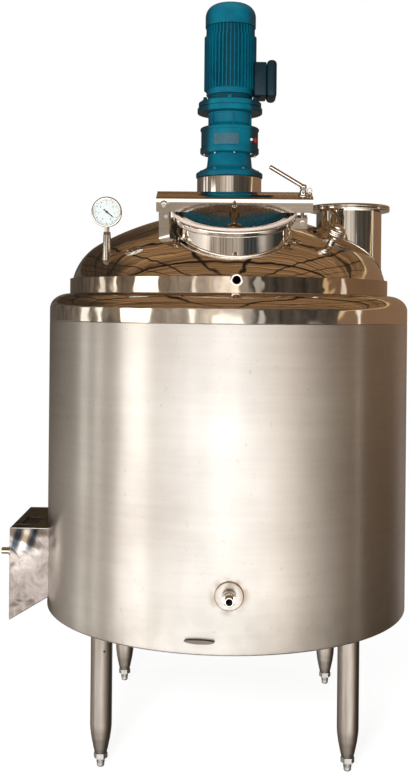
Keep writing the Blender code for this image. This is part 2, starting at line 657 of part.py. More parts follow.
def gauge(tank, dome_tool):
    # Socket on the dome, stem and round case that faces forward
    outline = [(0, SOCKET_TOP), (SOCKET_R - 0.001, SOCKET_TOP), (SOCKET_R, SOCKET_TOP - 0.001)]
    outline += [(SOCKET_R, SOCKET_BOTTOM), (0, SOCKET_BOTTOM)]
    place = (GAUGE_X, GAUGE_Y, 0)
    socket = piece("gauge_socket", turned(outline, SMALL_SIDES), STEEL, tank, place)
    boolean(socket, dome_tool)
    stem_top = DIAL_CENTRE_Z - DIAL_R + 0.008
    half = DIAL_DEPTH / 2
    face = half - DIAL_RECESS
    outline = [(DIAL_R - 0.002, half), (DIAL_R, half - 0.002), (DIAL_R, -half + 0.004)]
    outline += [(DIAL_R - 0.004, -half), (0, -half), (0, face), (DIAL_R - 0.006, face), (DIAL_R - 0.006, half)]
    centre = (GAUGE_X, GAUGE_Y, DIAL_CENTRE_Z)
    case = piece("gauge_case", turned(outline, MIDDLE_SIDES), STEEL, tank, centre, (math.pi / 2, 0, 0))
    stem = solid_rod(STEM_R, SOCKET_TOP + GAP, stem_top, SMALL_SIDES)
    boolean(case, cutter("gauge_stem", stem, tank, place), "UNION")


def collar_stub(tank, dome, band):
    # Short open pipe through the collar at the front
    end = -COLLAR_R - COLLAR_STUB_LENGTH
    length = COLLAR_STUB_LENGTH + 0.022
    place = (COLLAR_STUB_X, end, COLLAR_STUB_Z)
    turn = (-math.pi / 2, 0, 0)
    piece("collar_stub", tube(COLLAR_STUB_R, COLLAR_STUB_BORE, 0, length, 16), STEEL, tank, place, turn)
    hole = cutter("collar_hole", solid_rod(COLLAR_STUB_R + GAP, -0.02, length + 0.03, 16), tank, place, turn)
    boolean(dome, hole)
    boolean(band, hole)


def jacket_fittings(tank):
    # Lower inlet with a union and a round pad, and a small lip under it
    shell_tool = cutter("jacket_cut", solid_rod(JACKET_R + GAP, 0.3, 1.4, BIG_SIDES), tank)
    front = -JACKET_R - INLET_LENGTH
    turn = (-math.pi / 2, 0, 0)
    pad_front = -JACKET_R - INLET_PAD_THICK
    pad = piece("inlet_pad", solid_rod(INLET_PAD_R, 0, 0.02, MIDDLE_SIDES, 0.002), STEEL, tank,
                (INLET_X, pad_front, INLET_Z), turn)
    boolean(pad, shell_tool)
    back = INLET_LENGTH - INLET_PAD_THICK - GAP
    bore_end = INLET_LENGTH - 0.02
    outline = [(INLET_R, 0), (INLET_BORE, 0), (INLET_BORE, bore_end), (0, bore_end), (0, back)]
    outline += [(INLET_R, back), (INLET_R, UNION_BACK), (UNION_R, UNION_BACK - 0.002)]
    outline += [(UNION_R, UNION_FRONT + 0.002), (INLET_R, UNION_FRONT)]
    piece("jacket_inlet", turned(outline, SMALL_SIDES), STEEL, tank, (INLET_X, front, INLET_Z), turn)
    outline = []
    for step in range(LIP_STEPS):
        turn_round = 2 * math.pi * (step + 0.5) / LIP_STEPS
        outline.append((LIP_HALF_WIDTH * math.cos(turn_round), LIP_HEIGHT / 2 * math.sin(turn_round)))
    swing = math.asin(LIP_X / JACKET_R)
    seat = (LIP_X, -JACKET_R * math.cos(swing), LIP_Z)
    lip = piece("jacket_lip", extruded(outline, 2 * LIP_REACH), STEEL, tank, seat, (0, 0, swing))
    boolean(lip, shell_tool)
    return shell_tool


def side_box(tank, shell_tool):
    # Sheet box on the left with a bottom that slopes down outward, and a gland on its side
    inner = -JACKET_R * 0.9
    slope = (BOX_BOTTOM_INNER - BOX_BOTTOM_OUTER) / (-JACKET_R - BOX_LEFT)
    inner_z = BOX_BOTTOM_OUTER + slope * (inner - BOX_LEFT)
    outline = [(BOX_LEFT, BOX_BOTTOM_OUTER), (inner, inner_z), (inner, BOX_TOP), (BOX_LEFT, BOX_TOP)]
    middle = (BOX_FRONT + BOX_BACK) / 2
    shape = bevelled(extruded(outline, BOX_BACK - BOX_FRONT), 0.002, 1)
    box = piece("side_box", shape, STEEL, tank, (0, middle, 0))
    boolean(box, shell_tool)
    base = BOX_LEFT - GAP
    nut = BOX_GLAND_R + 0.005
    end = BOX_GLAND_REACH
    outline = [(0, base), (nut, base), (nut, BOX_LEFT - 0.01), (BOX_GLAND_R, BOX_LEFT - 0.012)]
    outline += [(BOX_GLAND_R, end + 0.002), (BOX_GLAND_R - 0.002, end), (0, end)]
    turn = (0, math.pi / 2, 0)
    piece("box_gland", turned(outline, SMALL_SIDES), STEEL, tank, (0, BOX_GLAND_Y, BOX_GLAND_Z), turn)


def build():
    clear_scene()
    tank = empty("tank_axis", None, (TANK_X, TANK_Y, 0))
    dome_tool = dome_cutter(tank)
    dome = vessel(tank)
    band = collar(tank)
    outlet(tank)
    jacket(tank)
    legs(tank)
    manhole(tank, dome, dome_tool)
    drive(tank, dome_tool)
    feed_neck(tank, dome)
    dome_stub(tank, dome_tool)
    gauge(tank, dome_tool)
    collar_stub(tank, dome, band)
    shell_tool = jacket_fittings(tank)
    side_box(tank, shell_tool)


build()
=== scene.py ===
# Looks of the jacketed mixing tank: steel and enamel finishes, fittings, light and camera.
# Metres, +Z up, in the CAD frame. Round pieces are drawn as (r, z) outlines and turned round their axis.

import json
import math

import bmesh
import bpy
from mathutils import Matrix, Vector


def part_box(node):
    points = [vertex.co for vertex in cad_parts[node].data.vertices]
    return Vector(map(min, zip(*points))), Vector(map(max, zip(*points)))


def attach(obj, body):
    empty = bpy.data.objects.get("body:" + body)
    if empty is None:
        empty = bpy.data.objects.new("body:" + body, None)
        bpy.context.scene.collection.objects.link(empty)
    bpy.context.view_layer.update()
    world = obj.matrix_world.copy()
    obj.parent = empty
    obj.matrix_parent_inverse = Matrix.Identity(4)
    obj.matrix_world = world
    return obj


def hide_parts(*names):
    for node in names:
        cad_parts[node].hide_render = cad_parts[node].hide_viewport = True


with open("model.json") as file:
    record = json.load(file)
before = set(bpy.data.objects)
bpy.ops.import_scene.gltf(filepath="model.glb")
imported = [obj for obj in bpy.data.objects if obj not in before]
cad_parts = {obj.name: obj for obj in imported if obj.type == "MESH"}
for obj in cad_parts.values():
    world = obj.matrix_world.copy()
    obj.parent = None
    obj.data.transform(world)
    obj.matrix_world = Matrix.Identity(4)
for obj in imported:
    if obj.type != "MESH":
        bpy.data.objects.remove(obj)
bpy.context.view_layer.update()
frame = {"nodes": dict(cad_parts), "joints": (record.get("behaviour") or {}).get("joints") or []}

print("frame loaded")

# Places taken from the frame
shellLow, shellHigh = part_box("jacket_shell")
tankAxis = Vector(((shellLow.x + shellHigh.x) / 2, (shellLow.y + shellHigh.y) / 2, 0))
onTank = Matrix.Translation(tankAxis)
joints = {joint["name"]: joint for joint in frame["joints"]}
pivot = {"x": -0.222, "z": 0.035}  # the bar's hinge pin, seen from the middle of the manhole rim
hingeAxis = Vector(joints["bar_swing"]["axis"])
manholeTilt = math.atan2(-hingeAxis.z, -hingeAxis.y)
tiltTurn = Matrix.Rotation(manholeTilt, 4, "X")
rimCentre = Vector(joints["bar_swing"]["pos_m"]) - tiltTurn @ Vector((pivot["x"], 0, pivot["z"]))
onRim = Matrix.Translation(rimCentre) @ tiltTurn
onNut = Matrix.Translation(joints["nut_turn"]["pos_m"]) @ tiltTurn
facingFront = Matrix.Rotation(math.pi / 2, 4, "X")  # turns +Z to -Y
facingLeft = Matrix.Rotation(-math.pi / 2, 4, "Y")  # turns +Z to -X


def rounded(corners, steps=4):
    # Corners are (r, z, fillet); each fillet becomes a small arc
    line = []
    for i, (r, z, fillet) in enumerate(corners):
        here = Vector((r, z))
        if not fillet:
            line.append((r, z))
            continue
        toBefore = Vector(corners[i - 1][:2]) - here
        toAfter = Vector(corners[(i + 1) % len(corners)][:2]) - here
        half = toBefore.angle(toAfter) / 2
        reach = min(fillet / math.tan(half), 0.49 * min(toBefore.length, toAfter.length))
        radius = reach * math.tan(half)
        toBefore.normalize()
        toAfter.normalize()
        centre = here + (toBefore + toAfter).normalized() * (radius / math.sin(half))
        first = here + toBefore * reach - centre
        last = here + toAfter * reach - centre
        sweep = math.pi - 2 * half
        side = 1 if first.x * last.y - first.y * last.x > 0 else -1
        start = math.atan2(first.y, first.x)
        # A point just outside each end of the arc keeps the shading of the long faces true
        if 1.4 * reach < 0.45 * (Vector(corners[i - 1][:2]) - here).length:
            line.append(tuple(here + toBefore * 1.4 * reach))
        for k in range(steps + 1):
            angle = start + side * sweep * k / steps
            line.append((centre.x + radius * math.cos(angle), centre.y + radius * math.sin(angle)))
        if 1.4 * reach < 0.45 * (Vector(corners[(i + 1) % len(corners)][:2]) - here).length:
            line.append(tuple(here + toAfter * 1.4 * reach))
    return line


def arcLine(centre, radius, start, end, steps):
    points = []
    for k in range(steps + 1):
        angle = math.radians(start + (end - start) * k / steps)
        points.append((centre[0] + radius * math.cos(angle), centre[1] + radius * math.sin(angle)))
    return points


def turned(line, sides=96, shape=None, part=1.0, start=0.0):
    # Turns a closed outline round Z; a part below 1 leaves an open sector with capped ends
    shape = shape or bmesh.new()
    whole = part >= 1.0
    stations = sides if whole else sides + 1
    rings = []
    for r, z in line:
        if r < 1e-6:
            rings.append([shape.verts.new((0, 0, z))] * stations)
            continue
        ring = []
        for i in range(stations):
            angle = start + 2 * math.pi * part * i / sides
            ring.append(shape.verts.new((r * math.cos(angle), r * math.sin(angle), z)))
        rings.append(ring)
    for k, ring in enumerate(rings):
        after = rings[(k + 1) % len(rings)]
        for i in range(sides):
            j = (i + 1) % stations
            corners = list(dict.fromkeys((ring[i], after[i], after[j], ring[j])))
            if len(corners) > 2:
                shape.faces.new(corners)
    if not whole:
        shape.faces.new([ring[0] for ring in rings])
        shape.faces.new([ring[-1] for ring in reversed(rings)])
    return shape


def slab(outline, low, high, shape=None):
    # An (x, y) outline raised from low to high along Z
    shape = shape or bmesh.new()
    bottom = [shape.verts.new((x, y, low)) for x, y in outline]
    top = [shape.verts.new((x, y, high)) for x, y in outline]
    shape.faces.new(list(reversed(bottom)))
    shape.faces.new(top)
    for i in range(len(outline)):
        j = (i + 1) % len(outline)
        shape.faces.new((bottom[i], bottom[j], top[j], top[i]))
    return shape


def roundedBox(low, high, edge, steps=3):
    shape = bmesh.new()
    bmesh.ops.create_cube(shape, size=1)
    for vert in shape.verts:
        for axis in range(3):
            vert.co[axis] = high[axis] if vert.co[axis] > 0 else low[axis]
    bmesh.ops.bevel(shape, geom=list(shape.edges), offset=edge, segments=steps, profile=0.5, affect="EDGES")
    return shape


def softened(shape, edge, steps=2, sharperThan=25):
    # Rounds every edge that turns by more than an angle
    chosen = [e for e in shape.edges if len(e.link_faces) == 2
              and e.calc_face_angle(0) > math.radians(sharperThan)]
    bmesh.ops.bevel(shape, geom=chosen, offset=edge, segments=steps, profile=0.5, affect="EDGES")
    return shape


def swept(path, radius, sides=8, closed=False, shape=None):
    # A round bar along a path, carried by a frame that never twists
    shape = shape or bmesh.new()
    count = len(path)
    points = [Vector(p) for p in path]
    tangents = []
    for i in range(count):
        before = points[i - 1] if closed or i else points[i]
        after = points[(i + 1) % count] if closed or i < count - 1 else points[i]
        tangents.append((after - before).normalized())
    normal = tangents[0].orthogonal().normalized()
    rings = []
    for i, point in enumerate(points):
        normal = (normal - tangents[i] * normal.dot(tangents[i])).normalized()
        across = tangents[i].cross(normal)
        ring = []
        for k in range(sides):
            angle = 2 * math.pi * k / sides
            ring.append(shape.verts.new(point + (normal * math.cos(angle) + across * math.sin(angle)) * radius))
        rings.append(ring)
    if closed:
        # The frame comes round turned by some angle, so the last ring is joined at its nearest start
        gaps = [(rings[0][k].co - rings[-1][0].co).length for k in range(sides)]
        shift = gaps.index(min(gaps))
    for i in range(count if closed else count - 1):
        here, after = rings[i], rings[(i + 1) % count]
        turn = shift if closed and i == count - 1 else 0
        for k in range(sides):
            shape.faces.new((here[k], here[(k + 1) % sides], after[(k + 1 + turn) % sides],
                             after[(k + turn) % sides]))
    if not closed:
        shape.faces.new(list(reversed(rings[0])))
        shape.faces.new(rings[-1])
    return shape


def gather(shapes):
    # Puts several shapes into one
    whole = bmesh.new()
    for shape in shapes:
        mesh = bpy.data.meshes.new("part")
        shape.to_mesh(mesh)
        shape.free()
        whole.from_mesh(mesh)
        bpy.data.meshes.remove(mesh)
    return whole


def plainObject(name, shape, material=None):
    bmesh.ops.recalc_face_normals(shape, faces=shape.faces)
    mesh = bpy.data.meshes.new(name)
    shape.to_mesh(mesh)
    shape.free()
    if material:
        mesh.materials.append(material)
    made = bpy.data.objects.new(name, mesh)
    bpy.context.scene.collection.objects.link(made)
    return made


def dropObject(thing):
    mesh = thing.data
    bpy.data.objects.remove(thing, do_unlink=True)
    if mesh and not mesh.users:
        bpy.data.meshes.remove(mesh)


def bake(thing):
    # Applies what modifiers an object has and leaves a plain mesh
    bpy.context.view_layer.update()
    evaluated = thing.evaluated_get(bpy.context.evaluated_depsgraph_get())
    mesh = bpy.data.meshes.new_from_object(evaluated)
    thing.modifiers.clear()
    old = thing.data
    thing.data = mesh
    bpy.data.meshes.remove(old)
    return thing


def combine(thing, operation, *shapes):
    tools = []
    for shape in shapes:
        tool = plainObject("tool", shape)
        step = thing.modifiers.new("step", "BOOLEAN")
        step.operation = operation
        step.solver = "EXACT"
        step.object = tool
        tools.append(tool)
    bake(thing)
    for tool in tools:
        dropObject(tool)
    return thing


def settle(thing, body, replaced=(), smoothAngle=32):
    # Smooths a finished piece, sets it on its body and hides the CAD parts it replaces
    thing.data.shade_smooth()
    thing.data.set_sharp_from_angle(angle=math.radians(smoothAngle))
    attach(thing, body)
    if replaced:
        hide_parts(*replaced)
    return thing


def piece(name, shape, material, place=onTank, body="tank", replaced=(),
          smoothAngle=32, cuts=(), joined=(), inside=None):
    if inside:  # (radius, material) gives the wall of a bore a second material, the painted bore shade
        for face in shape.faces:
            centre = face.calc_center_median()
            face.material_index = int(math.hypot(centre.x, centre.y) < inside[0])
    shape.transform(place)
    made = plainObject(name, shape, material)
    if inside:
        made.data.materials.append(inside[1])
    if joined:
        combine(made, "UNION", *joined)
    if cuts:
        combine(made, "DIFFERENCE", *cuts)
    return settle(made, body, replaced, smoothAngle)


def addNode(tree, kind, inputs=None, **settings):
    node = tree.nodes.new(kind)
    for key, value in settings.items():
        setattr(node, key, value)
    for key, value in (inputs or {}).items():
        socket = node.inputs[key]
        if isinstance(value, bpy.types.NodeSocket):
            tree.links.new(value, socket)
        else:
            socket.default_value = value
    return node


def maths(tree, operation, *values):
    return addNode(tree, "ShaderNodeMath", dict(enumerate(values)), operation=operation).outputs[0]


def newTree(name, sizes):
    # A Geometry Nodes tree with named inputs; sizes is {name: (socket type, default)}
    tree = bpy.data.node_groups.new(name, "GeometryNodeTree")
    for label, (kind, default) in sizes.items():
        socket = tree.interface.new_socket(label, in_out="INPUT", socket_type=kind)
        if default is not None:
            socket.default_value = default
    tree.interface.new_socket("Geometry", in_out="OUTPUT", socket_type="NodeSocketGeometry")
    return tree, tree.nodes.new("NodeGroupInput").outputs, tree.nodes.new("NodeGroupOutput")


def ringTree(name, hasHead):
    # Sets one small shape at even steps round a circle: a hexagon head on its washer, or a plain bar
    sizes = {"Count": ("NodeSocketInt", 8), "Ring Radius": ("NodeSocketFloat", 0.1),
             "Height": ("NodeSocketFloat", 0.0), "First Angle": ("NodeSocketFloat", 0.0),
             "Across": ("NodeSocketFloat", 0.01), "Depth": ("NodeSocketFloat", 0.01),
             "Thick": ("NodeSocketFloat", 0.002), "Finish": ("NodeSocketMaterial", None)}
    tree, given, result = newTree(name, sizes)
    line = addNode(tree, "GeometryNodeMeshLine", {"Count": given["Count"], "Offset": (0, 0, 0)})
    index = addNode(tree, "GeometryNodeInputIndex").outputs[0]
    step = maths(tree, "DIVIDE", 2 * math.pi, given["Count"])
    angle = maths(tree, "MULTIPLY_ADD", index, step, given["First Angle"])
    across = maths(tree, "MULTIPLY", maths(tree, "COSINE", angle), given["Ring Radius"])
    along = maths(tree, "MULTIPLY", maths(tree, "SINE", angle), given["Ring Radius"])
    spot = addNode(tree, "ShaderNodeCombineXYZ", {"X": across, "Y": along, "Z": given["Height"]})
    placed = addNode(tree, "GeometryNodeSetPosition", {"Geometry": line.outputs[0], "Position": spot.outputs[0]})
    turn = addNode(tree, "ShaderNodeCombineXYZ", {"Z": angle})
    if hasHead:
        radius = maths(tree, "DIVIDE", given["Across"], 2.0)
        head = addNode(tree, "GeometryNodeMeshCone", {
            "Vertices": 6, "Depth": given["Depth"], "Radius Bottom": radius,
            "Radius Top": maths(tree, "MULTIPLY", radius, 0.92)})
        washer = addNode(tree, "GeometryNodeMeshCylinder", {
            "Vertices": 20, "Depth": given["Thick"], "Radius": maths(tree, "MULTIPLY", radius, 1.25)})
        lift = addNode(tree, "ShaderNodeCombineXYZ", {"Z": given["Thick"]})
        raised = addNode(tree, "GeometryNodeTransform", {"Geometry": head.outputs[0], "Translation": lift.outputs[0]})
        half = addNode(tree, "ShaderNodeCombineXYZ", {"Z": maths(tree, "DIVIDE", given["Thick"], 2.0)})
        seat = addNode(tree, "GeometryNodeTransform", {"Geometry": washer.outputs[0], "Translation": half.outputs[0]})
        both = addNode(tree, "GeometryNodeJoinGeometry")
        tree.links.new(raised.outputs[0], both.inputs[0])
        tree.links.new(seat.outputs[0], both.inputs[0])
        shape = both.outputs[0]
    else:
        size = addNode(tree, "ShaderNodeCombineXYZ", {"X": given["Across"], "Y": given["Thick"], "Z": given["Depth"]})
        shape = addNode(tree, "GeometryNodeMeshCube", {"Size": size.outputs[0]}).outputs[0]
    many = addNode(tree, "GeometryNodeInstanceOnPoints",
                   {"Points": placed.outputs[0], "Instance": shape, "Rotation": turn.outputs[0]})
    real = addNode(tree, "GeometryNodeRealizeInstances", {"Geometry": many.outputs[0]})
    finish = addNode(tree, "GeometryNodeSetMaterial", {"Geometry": real.outputs[0], "Material": given["Finish"]})
    tree.links.new(finish.outputs[0], result.inputs[0])
    return tree


headRing = ringTree("bolt head ring", True)
barRing = ringTree("bar ring", False)


def grown(name, tree, values, finish, place=onTank, body="tank", smoothAngle=25):
    # Runs a tree once, keeps its plain mesh and drops the modifier
    thing = plainObject(name, bmesh.new(), finish)
    modifier = thing.modifiers.new("grow", "NODES")
    modifier.node_group = tree
    sockets = {item.name: item.identifier for item in tree.interface.items_tree
               if item.item_type == "SOCKET" and item.in_out == "INPUT"}
    for label, value in {**values, "Finish": finish}.items():
        modifier[sockets[label]] = value
    bake(thing)
    thing.data.transform(place)
    return settle(thing, body, (), smoothAngle)


print("tools ready")


# Small helpers for the finishes

def newMaterial(name):
    material = bpy.data.materials.new(name)
    material.use_nodes = True
    tree = material.node_tree
    return material, tree, tree.nodes["Principled BSDF"]


def objectSpace(tree, scale=(1, 1, 1)):
    place = addNode(tree, "ShaderNodeTexCoord").outputs["Object"]
    if scale == (1, 1, 1):
        return place
    return addNode(tree, "ShaderNodeMapping", {"Vector": place, "Scale": scale}).outputs[0]


def noise(tree, space, scale, detail=3.0, roughness=0.5, distortion=0.0):
    return addNode(tree, "ShaderNodeTexNoise", {"Vector": space, "Scale": scale, "Detail": detail,
                                                "Roughness": roughness, "Distortion": distortion}).outputs[0]


def spread(tree, value, low, high, toLow=0.0, toHigh=1.0, smooth=False):
    kind = "SMOOTHSTEP" if smooth else "LINEAR"
    return addNode(tree, "ShaderNodeMapRange", {"Value": value, "From Min": low, "From Max": high,
                                                "To Min": toLow, "To Max": toHigh},
                   interpolation_type=kind).outputs[0]


def within(tree, value, low, high, soft):
    start = spread(tree, value, low - soft, low + soft, smooth=True)
    stop = spread(tree, value, high - soft, high + soft, 1.0, 0.0, smooth=True)
    return maths(tree, "MULTIPLY", start, stop)


def blended(tree, share, first, second, mode="MIX"):
    return addNode(tree, "ShaderNodeMix", {0: share, 6: first, 7: second}, data_type="RGBA",
                   blend_type=mode).outputs[2]


def bumped(tree, shader, height, strength, distance, before=None):
    inputs = {"Height": height, "Strength": strength, "Distance": distance}
    if before:
        inputs["Normal"] = before
    node = addNode(tree, "ShaderNodeBump", inputs)
    tree.links.new(node.outputs[0], shader.inputs["Normal"])
    return node.outputs[0]


def uprightGrain(tree, shader, amount):
    # Level scratches stretch a reflection up and down, so the tangent stands upright
    shader.inputs["Anisotropic"].default_value = amount
    upright = addNode(tree, "ShaderNodeCombineXYZ", {"X": 0.0, "Y": 0.0, "Z": 1.0})
    tree.links.new(upright.outputs[0], shader.inputs["Tangent"])


def mirrorSteel(name, tint, slowWave, shortWave, smudge):
    # Polished sheet: slow and short waves bend the reflections, smudges dull them here and there
    material, tree, shader = newMaterial(name)
    space = objectSpace(tree)
    shader.inputs["Metallic"].default_value = 1.0
    patches = spread(tree, noise(tree, space, 5.0, 4.0, 0.6), 0.45, 0.75)
    fine = noise(tree, space, 90.0, 2.0)
    grime = blended(tree, maths(tree, "MULTIPLY", patches, 0.35), tint,
                    (tint[0] * 0.72, tint[1] * 0.66, tint[2] * 0.58, 1))
    tree.links.new(grime, shader.inputs["Base Color"])
    gloss = maths(tree, "MULTIPLY_ADD", patches, smudge, 0.03)
    tree.links.new(maths(tree, "MULTIPLY_ADD", fine, 0.03, gloss), shader.inputs["Roughness"])
    first = bumped(tree, shader, noise(tree, space, 3.2, 1.0), slowWave, 0.02)
    bumped(tree, shader, noise(tree, space, 15.0, 1.0), shortWave, 0.003, first)
    return material


def satinSteel():
    # Rolled jacket sheet: fine level scratches, cloudy stains and a heat ring round the inlet pad
    material, tree, shader = newMaterial("satin jacket")
    shader.inputs["Metallic"].default_value = 1.0
    plain = objectSpace(tree)
    grain = noise(tree, objectSpace(tree, (1.5, 1.5, 420)), 1.0, 4.0, 0.6)
    scratches = noise(tree, objectSpace(tree, (3.0, 3.0, 60)), 1.0, 3.0)
    clouds = noise(tree, plain, 2.4, 4.0, 0.62)
    specks = spread(tree, noise(tree, plain, 60.0, 2.0), 0.66, 0.78)
    colour = blended(tree, spread(tree, clouds, 0.3, 0.7), (0.8, 0.785, 0.755, 1), (0.69, 0.66, 0.62, 1))
    colour = blended(tree, maths(tree, "MULTIPLY", spread(tree, scratches, 0.35, 0.7), 0.2), colour,
                     (0.92, 0.9, 0.87, 1))
    colour = blended(tree, maths(tree, "MULTIPLY", specks, 0.22), colour, (0.32, 0.27, 0.21, 1))
    heat = addNode(tree, "ShaderNodeVectorMath", {0: plain, 1: tankAxis + Vector((0.0115, -0.625, 0.61))},
                   operation="DISTANCE").outputs["Value"]
    ring = maths(tree, "MULTIPLY", within(tree, heat, 0.033, 0.056, 0.012),
                 spread(tree, noise(tree, plain, 22.0, 2.0), 0.35, 0.6))
    colour = blended(tree, maths(tree, "MULTIPLY", ring, 0.62), colour, (0.34, 0.22, 0.13, 1))
    height = addNode(tree, "ShaderNodeSeparateXYZ", {0: plain}).outputs[2]
    foot = maths(tree, "MULTIPLY", spread(tree, height, 0.66, 0.43, smooth=True), spread(tree, clouds, 0.35, 0.65))
    colour = blended(tree, maths(tree, "MULTIPLY", foot, 0.5), colour, (0.36, 0.34, 0.29, 1))
    tree.links.new(colour, shader.inputs["Base Color"])
    gloss = maths(tree, "MULTIPLY_ADD", clouds, 0.1, 0.27)
    tree.links.new(maths(tree, "MULTIPLY_ADD", grain, 0.08, gloss), shader.inputs["Roughness"])
    uprightGrain(tree, shader, 0.9)
    first = bumped(tree, shader, noise(tree, objectSpace(tree, (1, 1, 0.35)), 3.5, 1.0), 0.35, 0.012)
    bumped(tree, shader, grain, 0.1, 0.0006, first)
    return material


def brushedSteel(name, tint, stretch, roughness, upright=0.0, stain=0.35):
    # Brushed bar and tube: streaks along one direction with dull patches between
    material, tree, shader = newMaterial(name)
    shader.inputs["Metallic"].default_value = 1.0
    streaks = noise(tree, objectSpace(tree, stretch), 1.0, 4.0, 0.6)
    patches = noise(tree, objectSpace(tree), 7.0, 3.0, 0.6)
    colour = blended(tree, spread(tree, streaks, 0.3, 0.7), tint, (tint[0] * 0.74, tint[1] * 0.7, tint[2] * 0.66, 1))
    colour = blended(tree, maths(tree, "MULTIPLY", spread(tree, patches, 0.5, 0.75), stain), colour,
                     (0.3, 0.26, 0.21, 1))
    tree.links.new(colour, shader.inputs["Base Color"])
    tree.links.new(maths(tree, "MULTIPLY_ADD", streaks, 0.16, roughness - 0.08), shader.inputs["Roughness"])
    if upright:
        uprightGrain(tree, shader, upright)
    bumped(tree, shader, streaks, 0.2, 0.0005)
    return material


def enamel(name, tint, deep, gloss, cast, paintedSideShade=None, paintedFinShade=None):
    # Machine enamel: uneven cast skin and dust on it, with painted shade on the flanks and painted shade between the
    # fins
    material, tree, shader = newMaterial(name)
    space = objectSpace(tree)
    clouds = noise(tree, space, 14.0, 4.0, 0.6)
    dust = spread(tree, noise(tree, space, 160.0, 3.0), 0.6, 0.8)
    colour = blended(tree, spread(tree, clouds, 0.35, 0.7), tint, deep)
    colour = blended(tree, maths(tree, "MULTIPLY", dust, 0.2), colour,
                     (tint[0] + 0.05, tint[1] + 0.08, tint[2] + 0.08, 1))
    parts = addNode(tree, "ShaderNodeSeparateXYZ", {0: space}).outputs
    across = maths(tree, "SUBTRACT", parts[0], tankAxis.x)
    if paintedSideShade:  # painted shade on the flanks, out from a distance to the left and right of the axis
        flank = spread(tree, maths(tree, "ABSOLUTE", across), paintedSideShade[0], paintedSideShade[1], smooth=True)
        colour = blended(tree, maths(tree, "MULTIPLY", flank, paintedSideShade[2]), colour, (0.003, 0.016, 0.024, 1))
    if paintedFinShade:  # painted shade between the fins, inward from a distance to the axis
        along = maths(tree, "SUBTRACT", parts[1], tankAxis.y)
        reach = addNode(tree, "ShaderNodeCombineXYZ", {"X": across, "Y": along}).outputs[0]
        reach = addNode(tree, "ShaderNodeVectorMath", {0: reach}, operation="LENGTH").outputs["Value"]
        colour = blended(tree, spread(tree, reach, paintedFinShade[1], paintedFinShade[0], 0.0, 0.75), colour, (0.0, 0.016, 0.026, 1))
    tree.links.new(colour, shader.inputs["Base Color"])
    tree.links.new(maths(tree, "MULTIPLY_ADD", clouds, 0.2, gloss), shader.inputs["Roughness"])
    shader.inputs["Specular IOR Level"].default_value = 0.3
    bumped(tree, shader, noise(tree, space, 190.0, 3.0), cast, 0.0015)
    return material


def plainFinish(name, tint, roughness, metallic=0.0, mottled=0.15, scale=30.0):
    material, tree, shader = newMaterial(name)
    clouds = noise(tree, objectSpace(tree), scale, 3.0)
    darker = tuple(c * (1 - mottled) for c in tint[:3]) + (1,)
    tree.links.new(blended(tree, clouds, tint, darker), shader.inputs["Base Color"])
    tree.links.new(maths(tree, "MULTIPLY_ADD", clouds, 0.12, roughness), shader.inputs["Roughness"])
    shader.inputs["Metallic"].default_value = metallic
    bumped(tree, shader, clouds, 0.1, 0.0005)
    return material


def handPolished():
    # Side box sheet: swirling hand-polish marks, with a clearer patch near the upper outer corner
    material, tree, shader = newMaterial("hand polished sheet")
    shader.inputs["Metallic"].default_value = 1.0
    space = objectSpace(tree)
    swirl = noise(tree, space, 13.0, 5.0, 0.65, 2.2)
    fine = noise(tree, objectSpace(tree, (40, 40, 12)), 1.0, 4.0, 0.6, 1.5)
    colour = blended(tree, spread(tree, swirl, 0.35, 0.68), (0.38, 0.335, 0.31, 1), (0.23, 0.2, 0.18, 1))
    colour = blended(tree, maths(tree, "MULTIPLY", spread(tree, fine, 0.45, 0.75), 0.4), colour,
                     (0.5, 0.44, 0.42, 1))
    # Painted reflections on the upper front: slanting blue-black stripes and a cream stripe; the dark top is a painted
    # dark reflection too
    x, y, z = addNode(tree, "ShaderNodeSeparateXYZ", {0: space}).outputs
    slant = maths(tree, "MULTIPLY_ADD", maths(tree, "SUBTRACT", z, 0.61), -0.3,
                  maths(tree, "SUBTRACT", x, tankAxis.x - 0.736))
    upper = maths(tree, "MULTIPLY", spread(tree, z, 0.61, 0.65, smooth=True),
                  spread(tree, y, tankAxis.y - 0.164, tankAxis.y - 0.168))
    stripeReflections = maths(tree, "ADD", within(tree, slant, -0.006, 0.018, 0.006), within(tree, slant, 0.05, 0.072, 0.008))
    stripeReflections = maths(tree, "MULTIPLY", stripeReflections, maths(tree, "MULTIPLY", upper, spread(tree, fine, 0.2, 0.5, 0.6, 1.0)))
    colour = blended(tree, stripeReflections, colour, (0.035, 0.05, 0.065, 1))
    creamStripeReflection = maths(tree, "MULTIPLY", within(tree, slant, 0.025, 0.043, 0.005), upper)
    colour = blended(tree, creamStripeReflection, colour, (0.86, 0.77, 0.66, 1))
    # Painted dark reflection over the top face of the box
    paintedDarkTop = spread(tree, z, 0.7068, 0.7078)
    colour = blended(tree, maths(tree, "MULTIPLY", paintedDarkTop, 0.85), colour, (0.14, 0.16, 0.14, 1))
    tree.links.new(colour, shader.inputs["Base Color"])
    clear = addNode(tree, "ShaderNodeVectorMath", {0: space, 1: tankAxis + Vector((-0.72, -0.17, 0.69))},
                    operation="DISTANCE").outputs["Value"]
    gloss = spread(tree, clear, 0.07, 0.17, 0.12, 0.4, smooth=True)
    tree.links.new(maths(tree, "MULTIPLY_ADD", swirl, 0.12, gloss), shader.inputs["Roughness"])
    first = bumped(tree, shader, noise(tree, space, 7.0, 1.0, 0.5, 1.5), 0.8, 0.02)
    bumped(tree, shader, fine, 0.25, 0.001, first)
    return material


